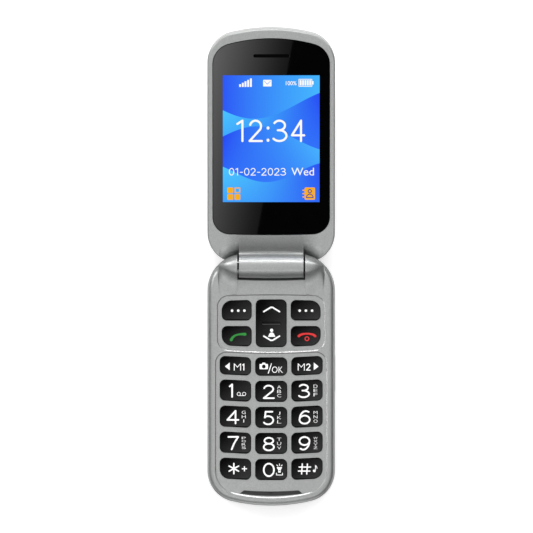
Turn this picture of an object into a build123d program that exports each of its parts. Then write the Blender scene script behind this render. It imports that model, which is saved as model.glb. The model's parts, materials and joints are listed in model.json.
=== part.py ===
from build123d import *
import math
import os

# Flip phone, open, lying on the back of its keypad half. Millimetres, +Z up.
# The origin is the middle of the keypad half's flat back. +Y runs from the keypad half to the display half.
#
# Both halves are modelled alike, in their own frame: the hinge axis is the X axis, the half reaches away
# from it towards +Y, and its inner face looks up. A depth is measured down from that inner face.
# place_lower and place_flip put a finished piece in the phone.

# Overall sizes
BODY_WIDTH = 57.0
REACH = 107.2  # hinge axis to the far end of either half
LOWER_THICKNESS = 10.4
FLIP_THICKNESS = 8.6
CLOSED_GAP = 1.0  # between the two inner faces when the phone is shut
OPEN_TILT = 10.0  # the open flip stops this many degrees short of flat
END_BOW = 5.5  # how far the middle of the far end stands out
END_CORNER = 14.0
BACK_ROUNDING = 2.8
LOWER_FACE_ROUNDING = 3.0
FLIP_FACE_ROUNDING = 0.8
WALL = 1.6
FLOOR = 1.2
MARGIN = 5.0  # spare length of cutting tools
TOUCH = 0.05  # gap between pieces that seat on each other
SEAM = 0.12  # width of the visible line between two shells

# Hinge
BARREL_HALF = 14.4
BARREL_RADIUS = 5.5
BARREL_END_RADIUS = 5.2
KNUCKLE_GAP = 0.8  # between the barrel's ends and the knuckles
KNUCKLE_CREST = 5.5
KNUCKLE_CORNER = 16.5
KNUCKLE_TIP_RADIUS = 0.3
BARREL_BLEND = 2.5  # hollow radius between the barrel and the flip's face
KNUCKLE_RAMP_REACH = 13.2  # from the hinge axis, where the knuckles' ramps meet the face
SWELL_INSET = 0.03
SWELL_TIP_RADIUS = 0.4
SWELL_TIP_SINK = 1.6  # how far the knuckle's ramp has dived under at its outer end
HINGE_CLEARANCE = 0.6
LOWER_HEEL = 0.1
FLIP_HEEL = 1.0
FLIP_HINGE_CORNER = 14.0
HINGE_BLOCK_WALL = 1.5
HINGE_BLOCK_REACH = 13.6
CARTRIDGE_RADIUS = 3.6
CARTRIDGE_LENGTH = 14.0
SHAFT_RADIUS = 1.5
SHAFT_HEAD_RADIUS = 2.4
SHAFT_REACH = 9.0  # how far the shaft enters the cartridge
PIN_RADIUS = 2.6
PIN_BORE = 1.6
PIN_REACH = 7.0  # how far the hollow pin enters the barrel
SHAFT_SOCKET = 4.6  # depth of the hole in the left knuckle
PIN_SOCKET = 2.3  # depth of the hole in the right knuckle
RUNNING_CLEARANCE = 0.05
RIBBON_ROLL = 1.15
RIBBON_WIDTH = 5.0
RIBBON_THICKNESS = 0.3
RIBBON_ROOM = 0.25
RIBBON_DROP = 10.2  # degrees the ribbon falls on its way to the flip's board
TAIL_WIDTH = 2.6
TAIL_DEPTH = 1.85
TAIL_REACH = 13.7
RIBBON_LENGTH = 22.0

# Keypad half
LOWER_SEAM = 5.8  # depth of the line between its front and rear housings
PLATE = 1.6
ISLAND_SINK = 0.4
ISLAND_SLOPE = 50.0  # the sunk panels' walls lean outwards by this many degrees
UPPER_ISLAND_INSET = 4.7  # from the side of the body
UPPER_ISLAND_NEAR = 13.7
UPPER_ISLAND_FAR = 37.1
UPPER_ISLAND_BOW_NEAR = -0.6
UPPER_ISLAND_BOW_FAR = 1.2
LOWER_ISLAND_NEAR = 38.4
LOWER_ISLAND_BOW = 0.9
LOWER_ISLAND_INSET = 3.85
ISLAND_CORNER = 4.7

# Keys
KEY_PROUD = 0.25
KEY_CLEARANCE = 0.2
KEY_EDGE = 0.4
KEY_CORNER = 2.2
KEY_FLANGE = 0.55
KEY_FLANGE_THICKNESS = 0.55
KEY_TRAVEL = 0.35
KEY_SLANT = 0.7  # a side key's inner end lies this much further from the hinge
KEY_COLUMN_GAP = 2.15
SIDE_KEY_INSET = 5.65  # from the side of the body
CENTRE_KEY_HALF = 7.0
SOFT_KEY_INSET = 6.55  # from the side of the body
SOFT_KEY_NEAR = 15.3
SOFT_KEY_FAR = 24.2
SOFT_KEY_SLANT = 0.35
SOFT_KEY_CORNER = 4.4
CALL_KEY_NEAR = 27.0
CALL_KEY_FAR = 35.9
CALL_KEY_SLANT = 0.6
NAV_KEY_HALF = 6.75
NAV_KEY_NEAR = 15.1
NAV_KEY_FAR = 36.1
NAV_RIDGE_LENGTH = 8.4
NAV_RIDGE_WIDTH = 1.3
NAV_RIDGE_HEIGHT = 0.3
NAV_RIDGE_SLOPE = 45.0  # its sides lean inwards by this many degrees
NAV_FLANGE_TOP = 1.9
NAV_FLANGE_BOTTOM = 2.3
NAV_PIVOT_DEPTH = 2.2
NAV_PIVOT_RADIUS = 0.35
MENU_ROW_NEAR = 40.3
MENU_ROW_HEIGHT = 7.9
MENU_ROW_GAP = 2.6
NUMBER_ROW_GAP = 2.55
KEYPAD_END = 12.35  # from the last row of keys to the far end of the body
STAR_KEY_CORNER = 4.2

# Microphone slot
SLOT_END = 5.4  # from its far edge to the far end of the body
SLOT_WIDTH = 1.5
SLOT_NEAR_HALF = 12.2
SLOT_NEAR_BOW = 0.5
SLOT_FAR_HALF = 14.2
SLOT_FAR_BOW = 1.05
SLOT_SINK = 1.1
SLOT_TRIM_THICKNESS = 0.4
SLOT_CLEARANCE = 0.05
MIC_RADIUS = 2.0
MIC_HEIGHT = 1.3
MIC_PORT = 0.5

# Inside the keypad half
MAT_PAD = 0.25
MAT_THICKNESS = 0.5
BOARD_THICKNESS = 0.8
VOLUME_BOARD_ROOM = 1.9  # between the side wall and the edge of the board and mat
BOARD_NEAR = 14.0
BOARD_END = 7.8  # from the board to the far end of the body
BATTERY_HALF = 17.4
BATTERY_NEAR = 42.0
BATTERY_END = 12.2
BATTERY_CORNER = 2.0
BATTERY_ROOM = 0.4
COVER_THICKNESS = 1.1
COVER_NEAR = 26.0
COVER_INSET = 4.5
COVER_CORNER = 5.0
COVER_CLEARANCE = 0.15
COVER_NOTCH_RADIUS = 6.0
COVER_NOTCH_DEPTH = 0.5
FRAME_THICKNESS = 0.95
BAY_WALL = 1.0
SHIELD_HALF = 15.0
SHIELD_NEAR = 25.0
SHIELD_FAR = 39.4
SHIELD_HEIGHT = 2.4
SHIELD_WALL = 0.3
SIM_HALF = 12.6
SIM_NEAR = 28.6
SIM_FAR = 39.4
SIM_HEIGHT = 2.2
SIM_ROOM = 0.4
CONTACT_COUNT = 3
CONTACT_PITCH = 3.2
CONTACT_WIDTH = 1.6
CONTACT_HEIGHT = 3.4
SPEAKER_INSET = 13.1  # from the left side of the body to its middle
SPEAKER_Y = 18.2
SPEAKER_LENGTH = 15.0
SPEAKER_WIDTH = 10.6
SPEAKER_HEIGHT = 3.0
GRILLE_SLOTS = 5
GRILLE_PITCH = 1.7
GRILLE_SLOT_LENGTH = 9.0
GRILLE_SLOT_WIDTH = 0.8
MOTOR_INSET = 13.1  # from the right side of the body to its middle
MOTOR_Y = 18.2
MOTOR_RADIUS = 4.6
MOTOR_HEIGHT = 2.9
ANTENNA_GAP = 0.6  # between the carrier and the screw post
ANTENNA_LENGTH = 6.8
ANTENNA_END = 4.6
ANTENNA_WIDTH = 5.0
ANTENNA_HEIGHT = 2.4
USB_WIDTH = 8.9
USB_HEIGHT = 3.1
USB_LENGTH = 7.4
USB_WALL = 0.35
USB_TONGUE_WIDTH = 6.4
USB_TONGUE_THICKNESS = 0.7
USB_CLEARANCE = 0.15

# Buttons on the outside
VOLUME_NEAR = 40.0
VOLUME_LENGTH = 16.0
VOLUME_HEIGHT = 2.6
VOLUME_DEPTH = 3.6  # depth of its middle
VOLUME_PROUD = 0.15
VOLUME_ROCK_ROOM = 0.3
VOLUME_EDGE = 0.3
VOLUME_LIP = 0.6
VOLUME_FLANGE = 0.6
VOLUME_PIVOT_RADIUS = 0.35
HELP_Y = 13.0
HELP_RADIUS = 4.2
HELP_SINK = 0.4
HELP_FLANGE = 0.8
HELP_FLANGE_THICKNESS = 0.6

# Screws
SCREW_RADIUS = 0.8
SCREW_HEAD_RADIUS = 1.7
SCREW_HEAD_HEIGHT = 0.9
SCREW_SOCKET_RADIUS = 0.7
SCREW_SOCKET_DEPTH = 0.5
SCREW_BITE = 2.0  # how far a screw enters the front housing's post
POST_RADIUS = 2.2
POST_DROP = 0.6  # how far short of the seam the keypad half's front posts stop
FLIP_POST_DROP = 0.8  # how far the flip's front posts pass the seam
UPPER_POST_INSET = 6.0  # from the side of the body
UPPER_POST_Y = 9.6
LOWER_POST_INSET = 13.5
LOWER_POST_END = 8.6  # from the far end of the body
FLIP_POST_INSET = 8.5
FLIP_POST_NEAR = 19.6
FLIP_POST_END = 10.0
SCREW_RECESS = 0.25
CAP_THICKNESS = 0.7

# Flip half
FLIP_SEAM = 3.8
FLIP_BLOCK_REACH = 14.4
PANE_INSET = 2.3  # from the side of the body
PANE_NEAR = 14.7
PANE_NEAR_BOW = -0.7
PANE_END = 4.2  # from the middle of the pane's far edge to the far end of the body
PANE_FAR_BOW = 4.9
PANE_NEAR_CORNER = 7.8
PANE_FAR_CORNER = 9.5
PANE_THICKNESS = 1.0
PANE_CLEARANCE = 0.12
PANE_SINK = 0.05
PANE_EDGE = 0.25
FLIP_PLATE = 2.7  # depth of the front plate's inner side
DISPLAY_HALF = 23.6
DISPLAY_NEAR = 24.0
DISPLAY_END = 18.5
DISPLAY_THICKNESS = 1.9
DISPLAY_ROOM = 0.25
EARPIECE_END = 12.1
EARPIECE_SLOT_LENGTH = 16.1
EARPIECE_SLOT_WIDTH = 1.5
EARPIECE_MESH_THICKNESS = 0.4
EARPIECE_MESH_SINK = 0.35
RECEIVER_LENGTH = 15.0
RECEIVER_WIDTH = 6.0
RECEIVER_HEIGHT = 2.3
FLIP_BOARD_TOP = 3.2
FLIP_BOARD_THICKNESS = 0.6
FLIP_BOARD_NEAR = 22.4
FLIP_BOARD_END = 16.6
FLIP_BOARD_INSET = 6.5
WINDOW_HALF = 15.0
WINDOW_NEAR = 50.0
WINDOW_END = 14.2
WINDOW_CORNER = 5.0
WINDOW_THICKNESS = 0.7
WINDOW_LEDGE = 1.4
OUTER_DISPLAY_HALF = 12.5
OUTER_DISPLAY_NEAR = 52.5
OUTER_DISPLAY_END = 29.2
OUTER_DISPLAY_THICKNESS = 1.6
CAMERA_X = -5.5
CAMERA_END = 22.2
CAMERA_RADIUS = 3.3
CAMERA_RING_WIDTH = 0.8
CAMERA_RING_PROUD = 0.2
CAMERA_MODULE = 7.5
CAMERA_LENS_RADIUS = 1.6
TORCH_X = 5.5
TORCH_RADIUS = 1.9
MAGNET_LENGTH = 6.0
MAGNET_WIDTH = 2.4
MAGNET_THICKNESS = 1.0
MAGNET_X = 12.6
MAGNET_END = 11.8

# Worked out from the sizes above
FACE = -CLOSED_GAP / 2  # height of both inner faces, from the hinge axis
HINGE_Y = REACH / 2
HINGE_Z = LOWER_THICKNESS - FACE
KNUCKLE_INNER = BARREL_HALF + KNUCKLE_GAP
MAT_TOP = PLATE + KEY_FLANGE_THICKNESS + KEY_TRAVEL + 2 * TOUCH
BOARD_TOP = MAT_TOP + MAT_THICKNESS + TOUCH
BOARD_BOTTOM = BOARD_TOP + BOARD_THICKNESS
COVER_TOP = LOWER_THICKNESS - COVER_THICKNESS
FRAME_BOTTOM = COVER_TOP - TOUCH
FRAME_TOP = FRAME_BOTTOM - FRAME_THICKNESS
REAR_FLOOR = LOWER_THICKNESS - FLOOR
FLIP_REAR_FLOOR = FLIP_THICKNESS - FLOOR
HALF_WIDTH = BODY_WIDTH / 2
EPS = 0.01

parts = {}

# ---------------------------------------------------------------- helpers


def place_lower(piece):
    """Keypad half: reaches towards -Y from the hinge."""
    return Pos(0, HINGE_Y, HINGE_Z) * mirror(piece, Plane.XZ)


def place_flip(piece):
    """Display half: reaches towards +Y, lifted by the open stop."""
    return Pos(0, HINGE_Y, HINGE_Z) * Rot(X=OPEN_TILT) * piece


def slab(plan, top, bottom):
    """Prism of a plan between two depths."""
    return Pos(0, 0, FACE - bottom) * extrude(plan, bottom - top, dir=(0, 0, 1))


def vertices_at(plan, y):
    return plan.vertices().filter_by_position(Axis.Y, y - EPS, y + EPS)


def rounded_rectangle(half, near, far, corner):
    """Rectangle centred on x = 0 between two distances from the hinge."""
    return Pos(0, (near + far) / 2) * RectangleRounded(2 * half, far - near, corner)


def bowed_panel(half, near, near_bow, far, far_bow, near_corner, far_corner):
    """Panel whose near and far edges stand out by their bow at x = 0, towards +Y."""
    edges = ThreePointArc((-half, near), (0, near + near_bow), (half, near))
    edges += Line((half, near), (half, far))
    edges += ThreePointArc((half, far), (0, far + far_bow), (-half, far))
    edges += Line((-half, far), (-half, near))
    plan = make_face(edges)
    plan = fillet(vertices_at(plan, near), near_corner)
    return fillet(vertices_at(plan, far), far_corner)


def half_outline(heel, hinge_corner):
    """Outline of one half in plan, from its straight heel to its bowed far end."""
    side = HALF_WIDTH
    shoulder = REACH - END_BOW
    edges = Polyline((side, shoulder), (side, heel), (-side, heel), (-side, shoulder))
    edges += ThreePointArc((-side, shoulder), (0, REACH), (side, shoulder))
    plan = make_face(edges)
    plan = fillet(vertices_at(plan, shoulder), END_CORNER)
    return fillet(vertices_at(plan, heel), hinge_corner)


def beyond(distance):
    """Half-plane of everything further from the hinge than this distance."""
    return Pos(0, distance + REACH) * Rectangle(2 * REACH, 2 * REACH)


def tub(plan, heel, thickness, face_rounding):
    """Block of one half with its back and face edges rounded; the face edge at the heel stays square."""
    block = slab(plan, 0, thickness)
    block = fillet(block.edges().group_by(Axis.Z)[0], BACK_ROUNDING)
    rim = [e for e in block.edges().group_by(Axis.Z)[-1] if e.center().Y > heel + EPS]
    return fillet(rim, face_rounding)


def both_sides(piece):
    return piece + mirror(piece, Plane.YZ)


def x_cylinder(radius, start, end):
    """Cylinder on the hinge axis between two x positions."""
    return Pos((start + end) / 2, 0, 0) * Rot(Y=90) * Cylinder(radius, abs(end - start))


def z_cylinder(radius, x, y, top, bottom):
    return Pos(x, y, FACE - (top + bottom) / 2) * Cylinder(radius, bottom - top)


def block(x, y, length, width, top, bottom):
    return Pos(x, y, FACE - (top + bottom) / 2) * Box(length, width, bottom - top)


def screw(x, y, head_depth, tip_depth):
    """Screw driven from the back: its head's outer side is at head_depth and its tip at tip_depth."""
    seat = head_depth - SCREW_HEAD_HEIGHT
    head = z_cylinder(SCREW_HEAD_RADIUS, x, y, seat, head_depth)
    shank = z_cylinder(SCREW_RADIUS, x, y, tip_depth, seat)
    socket = extrude(RegularPolygon(SCREW_SOCKET_RADIUS, 6), SCREW_SOCKET_DEPTH)
    return head + shank - Pos(x, y, FACE - head_depth) * socket


# ---------------------------------------------------------------- hinge shapes


lower_outline = half_outline(-KNUCKLE_CREST, KNUCKLE_CORNER)
flip_outline = half_outline(FLIP_HEEL, FLIP_HINGE_CORNER)
lower_plan = lower_outline & beyond(LOWER_HEEL)


def barrel(grow=0.0, half=BARREL_HALF):
    """Crowned barrel on the hinge axis."""
    middle, end = BARREL_RADIUS + grow, BARREL_END_RADIUS + grow
    edges = ThreePointArc((-half, end), (0, middle), (half, end))
    edges += Polyline((half, end), (half, 0), (-half, 0), (-half, end))
    return revolve(make_face(edges), Axis.X, 360)


def knuckle_radius(x):
    """Radius of the knuckle at x, from the corner arc of the outline."""
    centre_x = HALF_WIDTH - KNUCKLE_CORNER
    centre_y = KNUCKLE_CREST - KNUCKLE_CORNER
    return centre_y + math.sqrt(KNUCKLE_CORNER**2 - (x - centre_x) ** 2)


def knuckle_end(radius, grow=0.0):
    """The x at which the knuckle has this radius."""
    rise = radius + KNUCKLE_CORNER - KNUCKLE_CREST
    return HALF_WIDTH - KNUCKLE_CORNER + math.sqrt((KNUCKLE_CORNER + grow) ** 2 - rise**2)


def knuckle(grow=0.0, inner=KNUCKLE_INNER):
    """Right knuckle: the outline's rounded corner, turned about the hinge axis."""
    plan = offset(lower_outline, grow) if grow else lower_outline
    end = knuckle_end(KNUCKLE_TIP_RADIUS, grow)
    quarter = Pos((inner + end) / 2, -REACH) * Rectangle(end - inner, 2 * REACH)
    return revolve(plan & quarter, Axis.X, 360)


def barrel_radius(x):
    return BARREL_RADIUS - (BARREL_RADIUS - BARREL_END_RADIUS) * (x / BARREL_HALF) ** 2


def swell_section(x, radius, blend, grow, sink):
    """Section at x of the hollow ramp that leaves a barrel and runs out on the inner face."""
    rise = math.asin((blend + FACE) / (radius + blend))
    reach = (radius + blend) * math.cos(rise)
    barrel_side, hollow = radius - SWELL_INSET + grow, blend - grow
    middle = math.radians(225) + rise / 2
    start = (barrel_side * math.cos(rise), barrel_side * math.sin(rise) - sink)
    waist = (reach + hollow * math.cos(middle), blend + FACE - sink + hollow * math.sin(middle))
    end = (reach, FACE + grow - sink)
    root = (reach, end[1] - CLOSED_GAP)
    heel = (start[0] / 2, root[1])
    edges = ThreePointArc(start, waist, end) + Polyline(end, root, heel, start)
    return Plane(origin=(x, 0, 0), x_dir=(0, 1, 0), z_dir=(1, 0, 0)) * make_face(edges)


def barrel_swell(grow=0.0, half=BARREL_HALF):
    """Ramp between the flip's face and its barrel."""
    stations = (-half, 0, half)
    return loft([swell_section(x, barrel_radius(x), BARREL_BLEND, grow, 0) for x in stations])


KNUCKLE_STATIONS = (0.0, 0.35, 0.65, 0.88)  # shares of the knuckle's length


def knuckle_blend(radius):
    """Hollow radius with which the ramp from a knuckle of this radius meets the face at its reach."""
    return (KNUCKLE_RAMP_REACH**2 + FACE**2 - radius**2) / (2 * (radius - FACE))


def knuckle_swell(grow=0.0, inner=KNUCKLE_INNER):
    """Ramp between the keypad half's face and its right knuckle; it flattens outwards and dives under."""
    tip = knuckle_end(0)
    sections = []
    for share in KNUCKLE_STATIONS:
        x = inner + (tip - inner) * share
        radius = knuckle_radius(x)
        sections.append(swell_section(x, radius, knuckle_blend(radius), grow, 0))
    sections.append(swell_section(tip, SWELL_TIP_RADIUS, knuckle_blend(SWELL_TIP_RADIUS), grow, SWELL_TIP_SINK))
    return loft(sections)


knuckles = both_sides(knuckle() + knuckle_swell())
closed_knuckles = mirror(both_sides(knuckle_swell(HINGE_CLEARANCE, BARREL_HALF)), Plane.XY)
closed_barrel = mirror(barrel_swell(HINGE_CLEARANCE, KNUCKLE_INNER), Plane.XY)

lower_body = tub(lower_plan, LOWER_HEEL, LOWER_THICKNESS, LOWER_FACE_ROUNDING) + knuckles
lower_body -= barrel(HINGE_CLEARANCE, KNUCKLE_INNER)
lower_body -= closed_barrel

flip_body = tub(flip_outline, FLIP_HEEL, FLIP_THICKNESS, FLIP_FACE_ROUNDING)
flip_body -= both_sides(knuckle(HINGE_CLEARANCE, BARREL_HALF))
flip_body -= closed_knuckles
flip_body += barrel() + barrel_swell()


def add_lower(name, piece):
    parts[name] = place_lower(piece)


def add_flip(name, piece):
    parts[name] = place_flip(piece)


# ---------------------------------------------------------------- keys


def key_plan(inner, outer, near, far, near_slant, far_slant, special=None, special_radius=KEY_CORNER):
    """Plan of a key right of the centre line. Its inner end lies further from the hinge by the slants.

    special names one corner with a larger radius: near or far, always at the outer end."""
    corners = {
        "inner_near": (inner, near + near_slant),
        "near": (outer, near),
        "far": (outer, far),
        "inner_far": (inner, far + far_slant),
    }
    plan = make_face(Polyline(*corners.values(), close=True))
    for corner, place in corners.items():
        vertex = min(plan.vertices(), key=lambda v: (v.X - place[0]) ** 2 + (v.Y - place[1]) ** 2)
        plan = fillet(vertex, special_radius if corner == special else KEY_CORNER)
    return plan


def centre_key_plan(near, far, half=CENTRE_KEY_HALF):
    return rounded_rectangle(half, near, far, KEY_CORNER)


def key_plans():
    """Plan of every key, in the keypad half's own frame."""
    plans = {}
    soft_inner = NAV_KEY_HALF + KEY_COLUMN_GAP
    soft_outer = HALF_WIDTH - SOFT_KEY_INSET
    soft = key_plan(soft_inner, soft_outer, SOFT_KEY_NEAR + SOFT_KEY_SLANT, SOFT_KEY_FAR,
                    -SOFT_KEY_SLANT, 0, "near", SOFT_KEY_CORNER)
    call = key_plan(soft_inner, soft_outer, CALL_KEY_NEAR, CALL_KEY_FAR - CALL_KEY_SLANT,
                    0, CALL_KEY_SLANT, "far", SOFT_KEY_CORNER)
    plans["soft_key_right"], plans["soft_key_left"] = soft, mirror(soft, Plane.YZ)
    plans["end_key"], plans["call_key"] = call, mirror(call, Plane.YZ)
    plans["nav_key"] = centre_key_plan(NAV_KEY_NEAR, NAV_KEY_FAR, NAV_KEY_HALF)
    rows = [("key_m1", "key_ok", "key_m2", MENU_ROW_NEAR, MENU_ROW_HEIGHT)]
    labels = (("1", "2", "3"), ("4", "5", "6"), ("7", "8", "9"), ("star", "0", "hash"))
    first = MENU_ROW_NEAR + MENU_ROW_HEIGHT + MENU_ROW_GAP
    pitch = (REACH - KEYPAD_END - first + NUMBER_ROW_GAP) / len(labels)
    for row, names in enumerate(labels):
        rows.append((*(f"key_{name}" for name in names), first + pitch * row, pitch - NUMBER_ROW_GAP))
    for left, middle, right, near, height in rows:
        special = "far" if right == "key_hash" else None
        side = key_plan(CENTRE_KEY_HALF + KEY_COLUMN_GAP, HALF_WIDTH - SIDE_KEY_INSET, near, near + height,
                        KEY_SLANT, KEY_SLANT, special, STAR_KEY_CORNER)
        plans[left], plans[right] = mirror(side, Plane.YZ), side
        plans[middle] = centre_key_plan(near + KEY_SLANT, near + KEY_SLANT + height)
    return plans


def keycap(plan, flange_top, flange_bottom):
    """Raised key with an eased top edge and a flange that keeps it under the plate."""
    cap = slab(plan, -KEY_PROUD, flange_top)
    cap = fillet(cap.edges().group_by(Axis.Z)[-1], KEY_EDGE)
    return cap + slab(offset(plan, KEY_FLANGE), flange_top, flange_bottom)


key_faces = key_plans()
flange_top = PLATE + TOUCH
for name, plan in key_faces.items():
    if name == "nav_key":
        continue
    add_lower(name, keycap(plan, flange_top, flange_top + KEY_FLANGE_THICKNESS))

nav_middle = (NAV_KEY_NEAR + NAV_KEY_FAR) / 2
nav_key = keycap(key_faces["nav_key"], NAV_FLANGE_TOP, NAV_FLANGE_BOTTOM)
ridge = Pos(0, nav_middle) * SlotOverall(NAV_RIDGE_LENGTH, NAV_RIDGE_WIDTH)
nav_key += slab(ridge, -KEY_PROUD, 0)
nav_key += Pos(0, 0, FACE + KEY_PROUD) * extrude(ridge, NAV_RIDGE_HEIGHT, taper=NAV_RIDGE_SLOPE)
nav_rib = Rot(Y=90) * Cylinder(NAV_PIVOT_RADIUS, 2 * NAV_KEY_HALF)
nav_key += Pos(0, nav_middle, FACE - NAV_PIVOT_DEPTH) * nav_rib
add_lower("nav_key", nav_key)

# ---------------------------------------------------------------- keypad half: front housing

inner_plan = offset(lower_plan, -WALL)
upper_island = bowed_panel(HALF_WIDTH - UPPER_ISLAND_INSET, UPPER_ISLAND_NEAR, UPPER_ISLAND_BOW_NEAR,
                           UPPER_ISLAND_FAR, UPPER_ISLAND_BOW_FAR, ISLAND_CORNER, ISLAND_CORNER)
island_near = bowed_panel(HALF_WIDTH - LOWER_ISLAND_INSET, LOWER_ISLAND_NEAR, LOWER_ISLAND_BOW,
                          2 * REACH, LOWER_ISLAND_BOW, ISLAND_CORNER, ISLAND_CORNER)
lower_island = offset(lower_outline, -LOWER_ISLAND_INSET) & island_near

slot_far = REACH - SLOT_END
slot_near = slot_far - SLOT_WIDTH
mic_y = (slot_near + slot_far + SLOT_FAR_BOW) / 2
post_places = ((HALF_WIDTH - UPPER_POST_INSET, UPPER_POST_Y),
               (HALF_WIDTH - LOWER_POST_INSET, REACH - LOWER_POST_END))
posts = [(side * x, y) for x, y in post_places for side in (-1, 1)]
post_foot = LOWER_SEAM - POST_DROP
usb_depth = BOARD_BOTTOM + TOUCH + USB_HEIGHT / 2
usb_mouth = REACH - 2 * USB_CLEARANCE
volume_middle = VOLUME_NEAR + VOLUME_LENGTH / 2
volume_face = HALF_WIDTH + VOLUME_PROUD
volume_seat = HALF_WIDTH - WALL - VOLUME_ROCK_ROOM
tail_start = KNUCKLE_INNER + PIN_SOCKET + 2 * TOUCH
tail_x = tail_start + RIBBON_ROOM + TAIL_WIDTH / 2


def seam_side(depth, upper):
    """Everything above or below a shell's parting line."""
    direction = 1 if upper else -1
    height = FACE - depth + direction * (SEAM / 2 + REACH)
    return Pos(0, REACH / 2, height) * Box(2 * BODY_WIDTH, 2 * REACH, 2 * REACH)


def y_bar(width, height, depth, start, end):
    """Bar with round sides along Y, centred on x = 0."""
    plane = Plane(origin=(0, start, FACE - depth), x_dir=(1, 0, 0), z_dir=(0, -1, 0))
    return extrude(plane * SlotOverall(width, height), end - start, dir=(0, 1, 0))


def side_bar(start, end, length, height):
    """Bar with round ends on the right side wall, between two x positions."""
    plane = Plane(origin=(start, volume_middle, FACE - VOLUME_DEPTH), x_dir=(0, 1, 0), z_dir=(1, 0, 0))
    return extrude(plane * SlotOverall(length, height), end - start, dir=(1, 0, 0))


def slot_plan(clearance=0.0):
    """Crescent of the microphone slot."""
    near, far = SLOT_NEAR_HALF, SLOT_FAR_HALF
    edges = ThreePointArc((-near, slot_near), (0, slot_near + SLOT_NEAR_BOW), (near, slot_near))
    edges += Line((near, slot_near), (far, slot_far))
    edges += ThreePointArc((far, slot_far), (0, slot_far + SLOT_FAR_BOW), (-far, slot_far))
    edges += Line((-far, slot_far), (-near, slot_near))
    plan = make_face(edges)
    return offset(plan, -clearance) if clearance else plan


def tail_ribbon(room=0.0):
    """Ribbon that drops from the hinge axis in the right knuckle and runs under the plate."""
    half = RIBBON_THICKNESS / 2 + room
    floor = TAIL_DEPTH + RIBBON_THICKNESS / 2
    width = TAIL_WIDTH + 2 * room
    drop = Pos(tail_x, 0, (FACE - floor) / 2) * Box(width, 2 * half, floor - FACE + 2 * half)
    run = block(tail_x, (TAIL_REACH - half) / 2, width, TAIL_REACH + half, floor - half, floor + half)
    return drop + run


hinge_block = rounded_rectangle(KNUCKLE_INNER + HINGE_BLOCK_WALL, -HINGE_BLOCK_REACH, HINGE_BLOCK_REACH, 1)
lower_front = lower_body & seam_side(LOWER_SEAM, True)
lower_front -= slab(inner_plan - hinge_block, PLATE, LOWER_SEAM + MARGIN)
for island in (upper_island, lower_island):
    tool = extrude(island, MARGIN, dir=(0, 0, 1), taper=-ISLAND_SLOPE)
    lower_front -= Pos(0, 0, FACE - ISLAND_SINK) * tool
for plan in key_faces.values():
    lower_front -= slab(offset(plan, KEY_CLEARANCE), 0, PLATE + EPS)
lower_front -= slab(slot_plan(), 0, SLOT_SINK)
lower_front -= z_cylinder(MIC_PORT, 0, mic_y, SLOT_SINK - EPS, PLATE + EPS)
lower_front -= y_bar(USB_WIDTH + 2 * USB_CLEARANCE, USB_HEIGHT + 2 * USB_CLEARANCE, usb_depth,
                     REACH - USB_LENGTH, REACH + MARGIN)
lower_front -= side_bar(volume_seat, volume_face + MARGIN, VOLUME_LENGTH + 2 * KEY_CLEARANCE,
                        VOLUME_HEIGHT + 2 * KEY_CLEARANCE)
for x, y in posts:
    lower_front += z_cylinder(POST_RADIUS, x, y, PLATE - EPS, post_foot)
    lower_front -= z_cylinder(SCREW_RADIUS + TOUCH, x, y, post_foot - SCREW_BITE - TOUCH, post_foot + EPS)
lower_front -= x_cylinder(SHAFT_HEAD_RADIUS + TOUCH, -KNUCKLE_INNER - SHAFT_SOCKET, -KNUCKLE_INNER + EPS)
lower_front -= x_cylinder(PIN_RADIUS + TOUCH, KNUCKLE_INNER - EPS, KNUCKLE_INNER + PIN_SOCKET)
lower_front -= x_cylinder(RIBBON_ROLL + RIBBON_ROOM, KNUCKLE_INNER, tail_x + TAIL_WIDTH / 2 + RIBBON_ROOM)
lower_front -= tail_ribbon(RIBBON_ROOM)
add_lower("lower_front_housing", lower_front)

# ---------------------------------------------------------------- keypad half: rear housing and cover

cover_plan = offset(lower_outline, -COVER_INSET) & beyond(COVER_NEAR)
cover_plan = fillet(vertices_at(cover_plan, COVER_NEAR), COVER_CORNER)
cover_room = offset(cover_plan, COVER_CLEARANCE)
battery_plan = rounded_rectangle(BATTERY_HALF, BATTERY_NEAR, REACH - BATTERY_END, BATTERY_CORNER)
bay_plan = offset(battery_plan, BATTERY_ROOM)
sim_plan = rounded_rectangle(SIM_HALF, SIM_NEAR, SIM_FAR, 1)
contact_xs = [CONTACT_PITCH * (n - (CONTACT_COUNT - 1) / 2) for n in range(CONTACT_COUNT)]
contact_near = BATTERY_NEAR - BATTERY_ROOM - BAY_WALL - BATTERY_ROOM

speaker_x = SPEAKER_INSET - HALF_WIDTH

lower_rear = lower_body & seam_side(LOWER_SEAM, False)
lower_rear -= slab(inner_plan, LOWER_SEAM - MARGIN, FRAME_TOP)
lower_rear -= slab(inner_plan - offset(cover_room, WALL), FRAME_TOP - EPS, REAR_FLOOR)
lower_rear -= slab(cover_room, FRAME_BOTTOM, LOWER_THICKNESS + MARGIN)
lower_rear += slab(offset(bay_plan, BAY_WALL) - bay_plan, BOARD_BOTTOM + BATTERY_ROOM, FRAME_TOP + EPS)
lower_rear -= slab(bay_plan, FRAME_TOP - EPS, FRAME_BOTTOM + EPS)
lower_rear -= slab(offset(sim_plan, SIM_ROOM), FRAME_TOP - EPS, FRAME_BOTTOM + EPS)
lower_rear -= y_bar(USB_WIDTH + 2 * USB_CLEARANCE, USB_HEIGHT + 2 * USB_CLEARANCE, usb_depth,
                    REACH - USB_LENGTH, REACH + MARGIN)
for x in contact_xs:
    lower_rear -= block(x, contact_near + BAY_WALL, CONTACT_WIDTH + 2 * TOUCH, 2 * BAY_WALL,
                        BOARD_BOTTOM, BOARD_BOTTOM + CONTACT_HEIGHT + TOUCH)
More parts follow.
